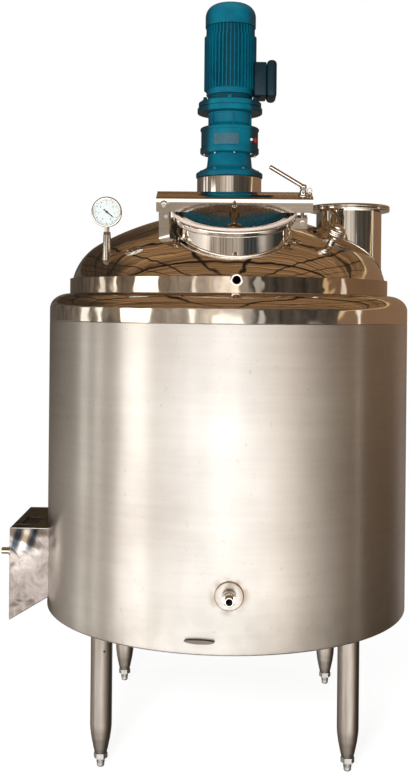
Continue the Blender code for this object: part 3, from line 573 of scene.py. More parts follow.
mirror = mirrorSteel("mirror steel", (0.84, 0.79, 0.72, 1), 0.12, 0.5, 0.12)
calmMirror = mirrorSteel("calm mirror steel", (0.84, 0.8, 0.75, 1), 0.05, 0.1, 0.1)
collarSteel = mirrorSteel("warm mirror steel", (0.64, 0.56, 0.47, 1), 0.12, 0.6, 0.15)
dishSteel = brushedSteel("spun dish steel", (0.52, 0.5, 0.47, 1), (40, 40, 40), 0.26)
jacketSatin = satinSteel()
legTube = brushedSteel("brushed leg tube", (0.38, 0.35, 0.32, 1), (60, 60, 4), 0.34, 0.75)
barSheet = brushedSteel("brushed bar sheet", (0.8, 0.75, 0.69, 1), (3, 90, 90), 0.13, 0.0, 0.12)
footSteel = plainFinish("cast foot steel", (0.62, 0.62, 0.6, 1), 0.42, 0.9, 0.3)
paleHighlight = plainFinish("pale painted highlight", (0.9, 0.88, 0.85, 1), 0.4, 0.2, 0.15)
innerSteel = brushedSteel("inner steel", (0.66, 0.64, 0.61, 1), (4, 4, 90), 0.3)
boxSheet = handPolished()
boltSteel = plainFinish("bolt steel", (0.6, 0.58, 0.54, 1), 0.25, 1.0)
dullSteelAndLipShade = plainFinish("dull steel and lip shade", (0.24, 0.21, 0.185, 1), 0.45, 1.0, 0.3)
# Painted shade inside the bores of the collar stub, inlet pipe and box gland
darkBore = plainFinish("bore shade", (0.06, 0.042, 0.032, 1), 0.55, 0.3)
# All three blue enamels carry painted side shade; the fin root enamel also has painted shade between the fins
blueEnamel = enamel("blue enamel", (0.0, 0.12, 0.175, 1), (0.0, 0.07, 0.12, 1), 0.3, 0.25, (0.055, 0.088, 0.7))
coreEnamel = enamel("fin root enamel with painted shade", (0.0, 0.12, 0.175, 1), (0.0, 0.07, 0.12, 1), 0.3, 0.25,
                    (0.055, 0.088, 0.7), (0.0826, 0.0836))
drumEnamel = enamel("side shaded blue enamel", (0.0, 0.13, 0.18, 1), (0.0, 0.08, 0.125, 1), 0.3, 0.3, (0.062, 0.082, 0.9))
darkEnamel = enamel("dark enamel", (0.003, 0.018, 0.026, 1), (0.002, 0.008, 0.012, 1), 0.32, 0.2)
plateMetal = plainFinish("blank plate", (0.07, 0.17, 0.23, 1), 0.3, 0.4, 0.5, 60.0)
redPlug = plainFinish("red plug", (0.32, 0.02, 0.025, 1), 0.4)
gasketWhite = plainFinish("pale gasket", (0.74, 0.6, 0.52, 1), 0.3, 0.1, 0.2, 18.0)
darkGasketAndSlotShade = plainFinish("dark gasket and slot shade", (0.02, 0.02, 0.02, 1), 0.6)
dialWhite = plainFinish("dial white", (0.6, 0.65, 0.64, 1), 0.5, 0.0, 0.06)
dialBlack = plainFinish("dial black", (0.02, 0.02, 0.022, 1), 0.5)
print("finishes ready")

vessel = {"jacketRadius": 0.625, "jacketBottom": 0.431, "jacketTop": 1.415, "bandTop": 1.457,
          "shoulderTop": 1.508, "collarRadius": 0.5565, "collarTop": 1.56, "vesselRadius": 0.552,
          "domeJoin": 1.515, "crownRadius": 0.92, "knuckleRadius": 0.19, "domeWall": 0.006,
          "headJoin": 0.54, "headFlat": 0.4918, "gap": 0.0003, "sides": 192}
crownTurn = math.asin((vessel["vesselRadius"] - vessel["knuckleRadius"])
                      / (vessel["crownRadius"] - vessel["knuckleRadius"]))
crownCentre = vessel["domeJoin"] - (vessel["crownRadius"] - vessel["knuckleRadius"]) * math.cos(crownTurn)


def domeLine(grow, steps=26):
    flat = 90 - math.degrees(crownTurn)
    knuckle = arcLine((vessel["vesselRadius"] - vessel["knuckleRadius"], vessel["domeJoin"]),
                      vessel["knuckleRadius"] + grow, 0, flat, steps // 2)
    crown = arcLine((0, crownCentre), vessel["crownRadius"] + grow, flat, 90, steps)
    line = knuckle + crown[1:]
    line[-1] = (0, line[-1][1])
    return line


def domeHeight(distance):
    if distance < vessel["crownRadius"] * math.sin(crownTurn):
        return crownCentre + math.sqrt(vessel["crownRadius"] ** 2 - distance ** 2)
    inward = distance - vessel["vesselRadius"] + vessel["knuckleRadius"]
    return vessel["domeJoin"] + math.sqrt(max(vessel["knuckleRadius"] ** 2 - inward ** 2, 0))


def seamOnDome(place, radius, low, high, steps=96):
    # Where a round neck meets the dome, as a closed path found by halving along each generator
    path = []
    for k in range(steps):
        angle = 2 * math.pi * k / steps
        bottom, top = low, high
        for _ in range(24):
            middle = (bottom + top) / 2
            point = place @ Vector((radius * math.cos(angle), radius * math.sin(angle), middle)) - tankAxis
            if point.z > domeHeight(math.hypot(point.x, point.y)):
                top = middle
            else:
                bottom = middle
        path.append(place @ Vector((radius * math.cos(angle), radius * math.sin(angle), bottom)))
    return path


manhole = {"neckRadius": 0.181, "neckWall": 0.005, "neckDepth": 0.13, "rimRadius": 0.195, "rimHeight": 0.022,
           "coverRadius": 0.199, "dishRadius": 0.169, "dishDepth": 0.05, "skin": 0.004, "gasket": 0.0045}
feed = {"x": 0.423, "y": -0.01, "radius": 0.114, "wall": 0.004, "bottom": 1.572, "top": 1.8045,
        "flangeRadius": 0.142, "flangeThick": 0.01, "coverThick": 0.0095}
stub = {"x": 0.025, "z": 1.547, "radius": 0.0195, "bore": 0.012, "length": 0.05}
onFeed = Matrix.Translation(tankAxis + Vector((feed["x"], feed["y"], 0)))
onStub = Matrix.Translation(tankAxis + Vector((stub["x"], 0, stub["z"]))) @ facingFront


def rod(radius, low, high, place, sides=64):
    shape = turned([(0, high), (radius, high), (radius, low), (0, low)], sides)
    shape.transform(place)
    return shape


def makeVessel():
    v = vessel
    outline = rounded([(v["jacketRadius"], v["jacketTop"], 0.0015), (v["jacketRadius"], v["jacketBottom"], 0.006),
                       (v["headFlat"], v["jacketBottom"], 0.001), (v["vesselRadius"] + v["gap"], v["headJoin"], 0),
                       (v["vesselRadius"] + v["gap"], v["jacketTop"], 0)])
    piece("jacketSkin", turned(outline, v["sides"]), jacketSatin,
          replaced=["jacket_shell"])
    low = v["jacketTop"] + v["gap"]
    foot = v["collarRadius"] + 0.002
    rise = [(v["jacketRadius"] - 0.001, low), (v["vesselRadius"] + v["gap"], low),
            (v["vesselRadius"] + v["gap"], v["shoulderTop"]), (foot, v["shoulderTop"])]
    for k in range(1, 19):
        angle = math.pi / 2 * (1 - k / 18)
        rise.append((foot + (v["jacketRadius"] - foot) * math.cos(angle),
                     v["bandTop"] + (v["shoulderTop"] - v["bandTop"]) * math.sin(angle)))
    rise.append((v["jacketRadius"], low + 0.0015))
    piece("shoulderBand", turned(rise, v["sides"]), mirror, replaced=["jacket_shoulder"])
    inner = v["vesselRadius"] + 2 * v["gap"]
    top = v["collarTop"]
    lip = v["vesselRadius"] - v["knuckleRadius"] + math.sqrt(
        (v["knuckleRadius"] + 2 * v["gap"]) ** 2 - (top - v["domeJoin"]) ** 2)
    outline = rounded([(v["collarRadius"], top, 0.0012), (v["collarRadius"], v["shoulderTop"] + v["gap"], 0.0012),
                       (inner, v["shoulderTop"] + v["gap"], 0), (inner, v["domeJoin"], 0), (lip, top, 0)])
    piece("collarBand", turned(outline, v["sides"]), collarSteel, replaced=["vessel_collar"],
          cuts=[rod(stub["radius"], 0.4, 0.7, onStub)])
    outline = domeLine(0) + list(reversed(domeLine(-v["domeWall"])))
    piece("polishedDome", turned(outline, v["sides"]), mirror, replaced=["top_dome"],
          cuts=[rod(manhole["neckRadius"], -0.2, 0.05, onRim, 96), rod(feed["radius"], 1.4, 1.9, onFeed, 96),
                rod(stub["radius"], 0.4, 0.7, onStub)])
    beads = [swept(seamOnDome(onRim, manhole["neckRadius"], -0.15, 0.1), 0.004, 8, True),
             swept(seamOnDome(onFeed, feed["radius"], 1.5, 1.85), 0.0035, 8, True)]
    piece("neckWelds", gather(beads), calmMirror, Matrix(), smoothAngle=60)


def coatNode(node, material):
    slots = frame["nodes"][node].data.materials
    slots.clear()
    slots.append(material)


makeVessel()
for node, finish in (("vessel_shell", innerSteel), ("bottom_head", calmMirror), ("bottom_outlet", calmMirror)):
    coatNode(node, finish)
print("vessel ready")

leg = {"offset": 0.392, "radius": 0.0345, "taperTop": 0.127, "tipRadius": 0.019, "tipTop": 0.045,
       "nutRadius": 0.022, "nutBottom": 0.028, "footRadius": 0.012}
legHole = {"x": 0.0127, "z": 0.3745, "radius": 0.0038}  # drain hole near the top of the front left leg


def makeLegs():
    corners = {"front_left": (-1, -1), "front_right": (1, -1), "rear_left": (-1, 1), "rear_right": (1, 1)}
    for place, (x, y) in corners.items():
        spot = Matrix.Translation(tankAxis + Vector((x * leg["offset"], y * leg["offset"], 0)))
        top = vessel["jacketBottom"] - vessel["gap"]
        r = leg["radius"]
        outline = rounded([(0, top, 0), (r, top, 0), (r, leg["taperTop"], 0.2), (r - 0.0045, 0.094, 0.1),
                           (leg["tipRadius"] + 0.004, 0.06, 0.01), (leg["tipRadius"], leg["tipTop"], 0.002),
                           (0, leg["tipTop"], 0)], 5)
        cuts = []
        if place == "front_left":
            hole = spot @ Matrix.Translation((legHole["x"], 0, legHole["z"])) @ facingFront
            cuts = [rod(legHole["radius"], 0.02, 0.05, hole, 20)]
        piece("leg" + place.title().replace("_", ""), turned(outline, 48), legTube, spot,
              replaced=["leg_" + place], cuts=cuts)
        nutTop = leg["tipTop"] - vessel["gap"]
        tip = leg["footRadius"]
        base = turned(rounded([(0, leg["nutBottom"] + 0.004, 0), (tip, leg["nutBottom"] + 0.004, 0), (tip, 0, 0.0075),
                               (0, 0, 0)], 6), 32)
        nut = leg["nutRadius"]
        hexagon = [(nut * math.cos(math.pi * k / 3), nut * math.sin(math.pi * k / 3)) for k in range(6)]
        base.transform(spot)
        shape = softened(slab(hexagon, leg["nutBottom"], nutTop), 0.0014, 2, 40)
        piece("foot" + place.title().replace("_", ""), shape, footSteel, spot, replaced=["foot_" + place],
              joined=[base])
        grown("thread" + place.title().replace("_", ""), barRing,
              {"Count": 14, "Ring Radius": leg["footRadius"] + 0.0004, "Height": 0.0195, "Across": 0.0012,
               "Depth": 0.012, "Thick": 0.0022}, dullSteelAndLipShade, spot)


makeLegs()
print("legs ready")

drive = {"pedestalRadius": 0.114, "pedestalTop": 1.922, "footRadius": 0.118, "footTop": 1.939,
         "hubRadius": 0.083, "hubTop": 1.957, "neckRadius": 0.0755, "gearBottom": 2.005, "gearTop": 2.099,
         "gearRadius": 0.104, "inputRadius": 0.078, "flangeRadius": 0.115, "flangeBottom": 2.15,
         "flangeTop": 2.189, "shieldRadius": 0.084, "finBottom": 2.232, "finTop": 2.42, "finTip": 0.0925,
         "finRoot": 0.0825, "finCount": 42, "cowlRadius": 0.0893, "cowlBottom": 2.455, "cowlTop": 2.536,
         "cowlEdge": 0.045}


def makeDrive():
    d = drive
    seat = domeHeight(d["pedestalRadius"])
    outline = rounded([(0, d["pedestalTop"], 0), (d["pedestalRadius"], d["pedestalTop"], 0.003),
                       (d["pedestalRadius"], seat - 0.002, 0), (0, seat - 0.002, 0)])
    piece("drivePedestal", turned(outline, 128), calmMirror, replaced=["drive_pedestal"])
    bead = turned(arcLine((d["pedestalRadius"], seat + 0.0005), 0.0028, 0, 315, 7), 96)
    piece("pedestalWeld", bead, calmMirror, smoothAngle=60)
    low = d["pedestalTop"] + vessel["gap"]
    outline = rounded([(0, d["gearBottom"] - 0.0003, 0), (d["neckRadius"], d["gearBottom"] - 0.0003, 0),
                       (0.08, 1.962, 0.004), (d["hubRadius"], 1.957, 0.002), (0.112, 1.9415, 0.003),
                       (d["footRadius"], 1.937, 0.003), (d["footRadius"], low, 0.002), (0, low, 0)])
    piece("gearFoot", turned(outline, 96), blueEnamel, replaced=["gearbox_foot"])
    r = d["gearRadius"]
    outline = rounded([(0, d["gearTop"], 0), (r - 0.004, d["gearTop"], 0.003), (r, 2.0955, 0.002),
                       (r, 2.0885, 0.002), (r - 0.003, 2.0865, 0.001), (r - 0.003, 2.028, 0.001),
                       (r, 2.026, 0.002), (r, 2.009, 0.004), (r - 0.006, d["gearBottom"], 0.003),
                       (0, d["gearBottom"], 0)])
    piece("gearDrum", turned(outline, 96), drumEnamel, replaced=["gear_housing"])
    top = d["flangeBottom"] - 0.0003
    outline = rounded([(0, top, 0), (d["inputRadius"] + 0.003, top, 0.002), (d["inputRadius"] - 0.002, 2.142, 0.004),
                       (d["inputRadius"] - 0.004, 2.112, 0.006), (d["inputRadius"] + 0.006, 2.1025, 0.003),
                       (d["inputRadius"] + 0.006, 2.0993, 0.001), (0, 2.0993, 0)])
    piece("inputNeck", turned(outline, 96), blueEnamel, replaced=["input_housing"])
    grown("inputRibs", barRing, {"Count": 6, "Ring Radius": d["inputRadius"] - 0.002, "Height": 2.1275,
                                 "First Angle": math.radians(-80), "Across": 0.01, "Depth": 0.044, "Thick": 0.005},
          blueEnamel)
    r = d["flangeRadius"]
    outline = rounded([(0, d["flangeTop"], 0), (r - 0.004, d["flangeTop"], 0.004), (r - 0.004, 2.1712, 0.002),
                       (r - 0.009, 2.1705, 0.0005), (r - 0.009, 2.1685, 0.0005), (r, 2.1678, 0.002),
                       (r, d["flangeBottom"], 0.003), (0, d["flangeBottom"], 0)])
    piece("motorFlange", turned(outline, 96), drumEnamel, replaced=["motor_flange"])
    low = d["flangeTop"] + 0.0003
    neck = d["shieldRadius"] - 0.004
    outline = rounded([(0, d["cowlBottom"] - 0.0003, 0), (neck, d["cowlBottom"] - 0.0003, 0), (neck, 2.43, 0.002),
                       (d["finRoot"], 2.424, 0.002), (d["finRoot"], 2.236, 0.002), (d["shieldRadius"], 2.232, 0.002),
                       (d["shieldRadius"], 2.214, 0.004), (0.079, 2.21, 0.002), (0.079, low, 0), (0, low, 0)])
    piece("motorCore", turned(outline, 96), coreEnamel, replaced=["motor_body"])
    # Each fin steps in before the fan cowl
    for name, bottom, top, tip in (("motorFins", d["finBottom"], d["finTop"], d["finTip"]),
                                   ("motorFinTops", d["finTop"] + 0.0002, d["cowlBottom"] - 0.0005, 0.0862)):
        reach = tip - d["finRoot"] + 0.003
        grown(name, barRing, {"Count": d["finCount"], "Ring Radius": tip - reach / 2,
                              "Height": (bottom + top) / 2, "First Angle": math.radians(5),
                              "Across": reach, "Depth": top - bottom, "Thick": 0.0036},
              blueEnamel)
    edge = d["cowlEdge"]
    outline = [(0, d["cowlTop"])] + arcLine((d["cowlRadius"] - edge, d["cowlTop"] - edge), edge, 90, 0, 14)
    outline += [(d["cowlRadius"], d["cowlBottom"]), (d["cowlRadius"] - 0.002, d["cowlBottom"]),
                (d["cowlRadius"] - 0.002, 2.48), (0, 2.48)]
    piece("fanCowl", turned(outline, 96), blueEnamel, replaced=["fan_cover"])
    # Dark bars on the cowl top are painted shade standing in for its slots
    for number, (radius, count) in enumerate(((0.014, 8), (0.025, 14), (0.036, 20))):
        grown("cowlSlots" + str(number + 1), barRing,
              {"Count": count, "Ring Radius": radius, "Height": d["cowlTop"] - 0.0003, "Across": 0.0072,
               "Depth": 0.0005, "Thick": 0.0032}, darkGasketAndSlotShade)
    grown("flangeBolts", headRing, {"Count": 6, "Ring Radius": 0.1, "Height": d["flangeTop"],
                                    "First Angle": math.radians(-150), "Across": 0.016, "Depth": 0.009,
                                    "Thick": 0.0015}, drumEnamel)
    underDrum = onTank @ Matrix.Translation((0, 0, 2.0045)) @ Matrix.Rotation(math.pi, 4, "X")
    grown("drumBolts", headRing, {"Count": 8, "Ring Radius": 0.091, "Height": 0.0, "First Angle": math.radians(-56),
                                  "Across": 0.008, "Depth": 0.0035, "Thick": 0.0008}, boltSteel, place=underDrum)
    grown("footBolts", headRing, {"Count": 6, "Ring Radius": 0.099, "Height": 1.9435,
                                  "First Angle": math.radians(-61), "Across": 0.011, "Depth": 0.006,
                                  "Thick": 0.001}, boltSteel)
    seal = turned(rounded([(0.0805, 1.9625, 0), (0.0805, 1.9605, 0), (0.079, 1.9605, 0), (0.079, 1.9625, 0)]), 64)
    piece("hubSeam", seal, darkGasketAndSlotShade)


terminal = {"low": (0.084, -0.056, 2.206), "high": (0.1275, 0.056, 2.325), "lidLow": (0.128, -0.06, 2.2),
            "lidHigh": (0.163, 0.06, 2.333), "screwReach": 0.1628}


def makeTerminalBox():
    t = terminal
    shell = roundedBox(t["low"], t["high"], 0.006, 3)
    piece("terminalBox", shell, darkEnamel, replaced=["terminal_box"],
          cuts=[rod(drive["finTip"] + 0.0005, 2.1, 2.5, Matrix(), 96)])
    piece("terminalLid", roundedBox(t["lidLow"], t["lidHigh"], 0.015, 5), darkEnamel)
    screws = []
    for y in (-0.036, 0.036):
        for z in (2.224, 2.309):
            screw = turned(rounded([(0, 0.0035, 0), (0.004, 0.0035, 0.001), (0.004, 0, 0), (0, 0, 0)], 2), 12)
            screw.transform(Matrix.Translation((t["screwReach"] - 0.0035, y, z)) @ Matrix.Rotation(math.pi / 2, 4, "Y"))
            screws.append(screw)
    piece("lidScrews", gather(screws), boltSteel)


def makeDrumFittings():
    # A blank plate on the front of the gear drum, with a red plug and a pale screw beside it; the screw's pale colour
    # is a painted highlight
    r = drive["gearRadius"]
    plate = turned([(r - 0.0012, 2.068), (r - 0.0012, 2.0305), (r - 0.004, 2.0305), (r - 0.004, 2.068)],
                   16, None, 50 / 360, math.radians(-90 - 32))
    piece("blankPlate", plate, plateMetal)
    for name, radius, angle, finish in (("oilPlug", 0.0095, -27, redPlug), ("drumScrew", 0.005, -42, paleHighlight)):
        plug = turned(rounded([(0, 0.009, 0), (radius, 0.009, 0.002), (radius, 0, 0), (0, 0, 0)]), 24)
        place = (onTank @ Matrix.Rotation(math.radians(angle), 4, "Z") @ Matrix.Translation((r - 0.006, 0, 2.05))
                 @ Matrix.Rotation(math.pi / 2, 4, "Y"))
        piece(name, plug, finish, place)


makeDrive()
makeTerminalBox()
makeDrumFittings()
print("drive ready")


def makeManhole():
    m = manhole
    r = m["neckRadius"]
    gap = vessel["gap"]
    outline = [(r, -gap), (r, -m["neckDepth"]), (r - m["neckWall"], -m["neckDepth"]), (r - m["neckWall"], -gap)]
    piece("manholeNeck", turned(outline, 128), calmMirror, onRim, replaced=["manhole_neck"])
    outline = rounded([(r + gap, -gap, 0), (m["rimRadius"], -gap, 0.006), (m["rimRadius"], -m["rimHeight"], 0.012),
                       (r + gap, -m["rimHeight"], 0)], 8)
    piece("manholeRim", turned(outline, 128), calmMirror, onRim, replaced=["manhole_rim"])
    bowl = (m["dishRadius"] ** 2 + m["dishDepth"] ** 2) / (2 * m["dishDepth"])
    half = math.degrees(math.asin(m["dishRadius"] / bowl))
    under = arcLine((0, bowl - m["dishDepth"]), bowl, -90, -90 + half, 18)
    over = arcLine((0, bowl - m["dishDepth"]), bowl - m["skin"], -90 + half, -90, 18)
    under[0] = (0, under[0][1])
    over[-1] = (0, over[-1][1])
    c = m["coverRadius"] - 0.006
    edge = rounded([(c - 0.014, 0.0005, 0.004), (c, 0.0005, 0.002), (c, 0.0075, 0.002), (c - 0.008, 0.0075, 0.003),
                    (c - 0.013, 0.0045, 0.003)], 5)
    piece("coverDish", turned(under + edge + over, 128), dishSteel, onRim, "cross_bar", replaced=["manhole_cover"])
    ring = [(m["coverRadius"] - m["gasket"] + m["gasket"] * math.cos(2 * math.pi * k / 14),
             0.0048 + 0.0046 * math.sin(2 * math.pi * k / 14)) for k in range(14)]
    piece("coverGasket", turned(ring, 128), gasketWhite, onRim, "cross_bar", smoothAngle=60)
    foot = -m["dishDepth"] + m["skin"] + 0.0008
    outline = rounded([(0, 0.0522, 0), (0.008, 0.0522, 0.001), (0.008, 0.016, 0.001), (0.019, 0.014, 0.002),
                       (0.019, -0.013, 0.002), (0.0085, -0.015, 0.001), (0.0085, foot + 0.01, 0.003),
                       (0.0225, foot + 0.005, 0.002), (0.0225, foot + 0.001, 0.001), (0, foot, 0)])
    piece("coverSpindle", turned(outline, 40), calmMirror, onRim, "cross_bar", replaced=["cover_spindle"])


bar = {"length": 0.493, "width": 0.08, "height": 0.045, "skin": 0.005, "bottom": 0.013, "bendDeep": 0.0045,
       "bendTall": 0.016, "slotX": 0.216, "slotHalf": 0.0075}


def makeBar():
    b = bar
    half = b["width"] / 2
    low, high = b["bottom"], b["bottom"] + b["height"]
    steps = [math.pi / 2 * k / 8 for k in range(9)]
    outer = [(-half + b["bendDeep"] * (1 - math.cos(a)), high - b["bendTall"] * (1 - math.sin(a))) for a in steps]
    outer += [(-x, z) for x, z in reversed(outer)]
    inner = rounded([(half, low, 0), (half - b["skin"], low, 0.0012), (half - b["skin"], high - b["skin"], 0.003),
                     (-half + b["skin"], high - b["skin"], 0.003), (-half + b["skin"], low, 0.0012),
                     (-half, low, 0)], 4)
    shape = slab(outer + inner, -b["length"] / 2, b["length"] / 2)
    # The slab runs along Z with (x, y) as (across, up): it is turned to lie along X
    shape.transform(Matrix(((0, 0, 1, 0), (1, 0, 0, 0), (0, 1, 0, 0), (0, 0, 0, 1))))
    slot = roundedBox((b["slotX"] - b["slotHalf"], -b["slotHalf"], high - 0.02),
                      (b["length"] / 2 + 0.02, b["slotHalf"], high + 0.01), 0.003)
    slot.transform(onRim)
    hole = turned([(0, 0.06), (0.0068, 0.06), (0.0068, -0.06), (0, -0.06)], 24)
    hole.transform(onRim @ Matrix.Translation((pivot["x"], 0, pivot["z"])) @ Matrix.Rotation(math.pi / 2, 4, "X"))
    piece("swingBar", shape, barSheet, onRim, "cross_bar", replaced=["manhole_bar"], cuts=[slot, hole])
    eye = swept([(math.cos(2 * math.pi * k / 20) * 0.0068, 0, math.sin(2 * math.pi * k / 20) * 0.0095)
                 for k in range(20)], 0.0017, 8, True)
    piece("ringEye", eye, calmMirror, onRim @ Matrix.Translation((b["length"] / 2 - 0.009, 0.014, high + 0.0108)),
          "cross_bar", smoothAngle=60)
    strap = turned(rounded([(0, 0.0525, 0), (0.0045, 0.0525, 0.001), (0.0045, 0.036, 0.001), (0.0075, 0.032, 0.002),
                            (0.0075, 0.023, 0.002), (0.0045, 0.019, 0.001), (0.0045, 0.0135, 0), (0, 0.0135, 0)]), 24)
    piece("barStrap", strap, calmMirror, onRim @ Matrix.Translation((0, -half - 0.0004, 0)), "cross_bar")


nut = {"radius": 0.0125, "height": 0.034, "bore": 0.007, "boreDepth": 0.019, "arm": 0.0068, "armLength": 0.125,
       "armStart": 0.028, "rise": 31}


def makeNut():
    n = nut
    r = n["radius"] - 0.002
    outline = rounded([(0, n["height"], 0), (r, n["height"], 0.003), (r, 0.0205, 0.001),
                       (r - 0.0025, 0.0195, 0.001), (r - 0.0025, 0.0165, 0.001), (r, 0.0155, 0.001),
                       (r, 0.004, 0.001), (n["radius"] + 0.003, 0.002, 0.001), (n["radius"] + 0.003, 0, 0),
                       (n["bore"], 0, 0), (n["bore"], n["boreDepth"], 0), (0, n["boreDepth"] + 0.003, 0)])
    arm = turned(rounded([(0, n["armLength"], 0), (n["arm"], n["armLength"], 0.0035), (n["arm"], -0.004, 0),
                          (0, -0.004, 0)]), 24)
    arm.transform(onNut @ Matrix.Translation((0, 0, n["armStart"]))
                  @ Matrix.Rotation(math.radians(n["rise"] - 90), 4, "Y"))
    piece("leverNut", turned(outline, 32), calmMirror, onNut, "clamp_nut", replaced=["lever_nut"], joined=[arm])


def earScrews():
    # Round-headed screws on both ears of the bar's hinge
    heads = []
    for side in (-1, 1):
        for x, z, out in ((pivot["x"], pivot["z"], 0.004), (pivot["x"] + 0.007, pivot["z"] - 0.036, 0.0)):
            head = turned(rounded([(0, 0.0035, 0), (0.0058, 0.0035, 0.002), (0.0058, 0, 0), (0, 0, 0)]), 20)
            head.transform(Matrix.Translation((x, -side * (0.0475 + out), z))
                           @ Matrix.Rotation(math.pi / 2 * side, 4, "X"))
            heads.append(head)
    return gather(heads)


makeManhole()
makeBar()
makeNut()
piece("earScrews", earScrews(), boltSteel, onRim)
for node in ("bar_hinge", "hinge_pin", "clamp_lugs", "clamp_pin", "clamp_bolt"):
    coatNode(node, barSheet if node in ("bar_hinge", "clamp_lugs") else calmMirror)
print("manhole ready")


def makeFeed():
    f = feed
    base = f["top"]
    outline = [(f["radius"], base - 0.0003), (f["radius"], f["bottom"]), (f["radius"] - f["wall"], f["bottom"]),
               (f["radius"] - f["wall"], base - 0.0003)]
    piece("feedNeck", turned(outline, 128), calmMirror, onFeed, replaced=["feed_neck"])
    r = f["flangeRadius"]
    outline = rounded([(r, base + f["flangeThick"], 0.0015), (r, base, 0.003), (f["radius"] - f["wall"], base, 0),
                       (f["radius"] - f["wall"], base + f["flangeThick"], 0)])
    piece("feedFlange", turned(outline, 128), calmMirror, onFeed, replaced=["feed_flange"])
    low = base + f["flangeThick"] + 0.0003
    outline = rounded([(0, low + f["coverThick"], 0), (r, low + f["coverThick"], 0.004), (r, low, 0.0015), (0, low, 0)])
    piece("feedCover", turned(outline, 128), calmMirror, onFeed, replaced=["feed_cover"])


clamp = {"x": 0.325, "y": -0.35, "height": 0.072, "tube": 0.0125, "ring": 0.03, "ringHeight": 0.03, "cap": 0.017,
         "capRise": 0.006}


def makeDomeStub():
    # Ferrule, ring clamp and blind cap that stand square on the dome
    c = clamp
    foot = Vector((c["x"], c["y"], domeHeight(math.hypot(c["x"], c["y"]))))
    upward = (foot - Vector((0, 0, crownCentre))).normalized()
    place = Matrix.Translation(tankAxis + foot) @ upward.to_track_quat("Z", "Y").to_matrix().to_4x4()
    top = c["height"] - c["capRise"]
    low = top - c["ringHeight"]
    outline = rounded([(0, low - 0.0003, 0), (0.02, low - 0.0003, 0), (0.018, low - 0.006, 0.004),
                       (c["tube"], low - 0.014, 0.004), (c["tube"], 0.004, 0.003), (c["tube"] + 0.004, -0.002, 0),
                       (0, -0.002, 0)])
    piece("stubTube", turned(outline, 48), calmMirror, place, replaced=["dome_stub"])
    r = c["ring"]
    outline = rounded([(0, c["height"], 0), (c["cap"], c["height"], 0.002), (c["cap"], top, 0.001),
                       (r - 0.006, top, 0.002), (r - 0.004, top - 0.005, 0.002), (r, top - 0.008, 0.002),
                       (r, top - 0.012, 0.002), (r - 0.004, top - 0.0145, 0.001), (r - 0.004, top - 0.0165, 0.001),
                       (r, top - 0.019, 0.002), (r, low + 0.007, 0.002), (r - 0.005, low + 0.003, 0.002),
                       (r - 0.007, low, 0.001), (0, low, 0)], 3)
    knob = turned(rounded([(0, 0.012, 0), (0.006, 0.012, 0.002), (0.006, -0.012, 0.002), (0, -0.012, 0)]), 20)
    knob.transform(place @ Matrix.Translation((r + 0.001, 0, top - 0.0155)))
    piece("stubClamp", turned(outline, 64), calmMirror, place, replaced=["dome_stub_clamp"], joined=[knob])


dial = {"x": -0.393, "y": -0.345, "z": 1.768, "radius": 0.049, "depth": 0.045, "socketRadius": 0.013,
        "socketTop": 1.7045, "stemRadius": 0.0075, "needle": -39}


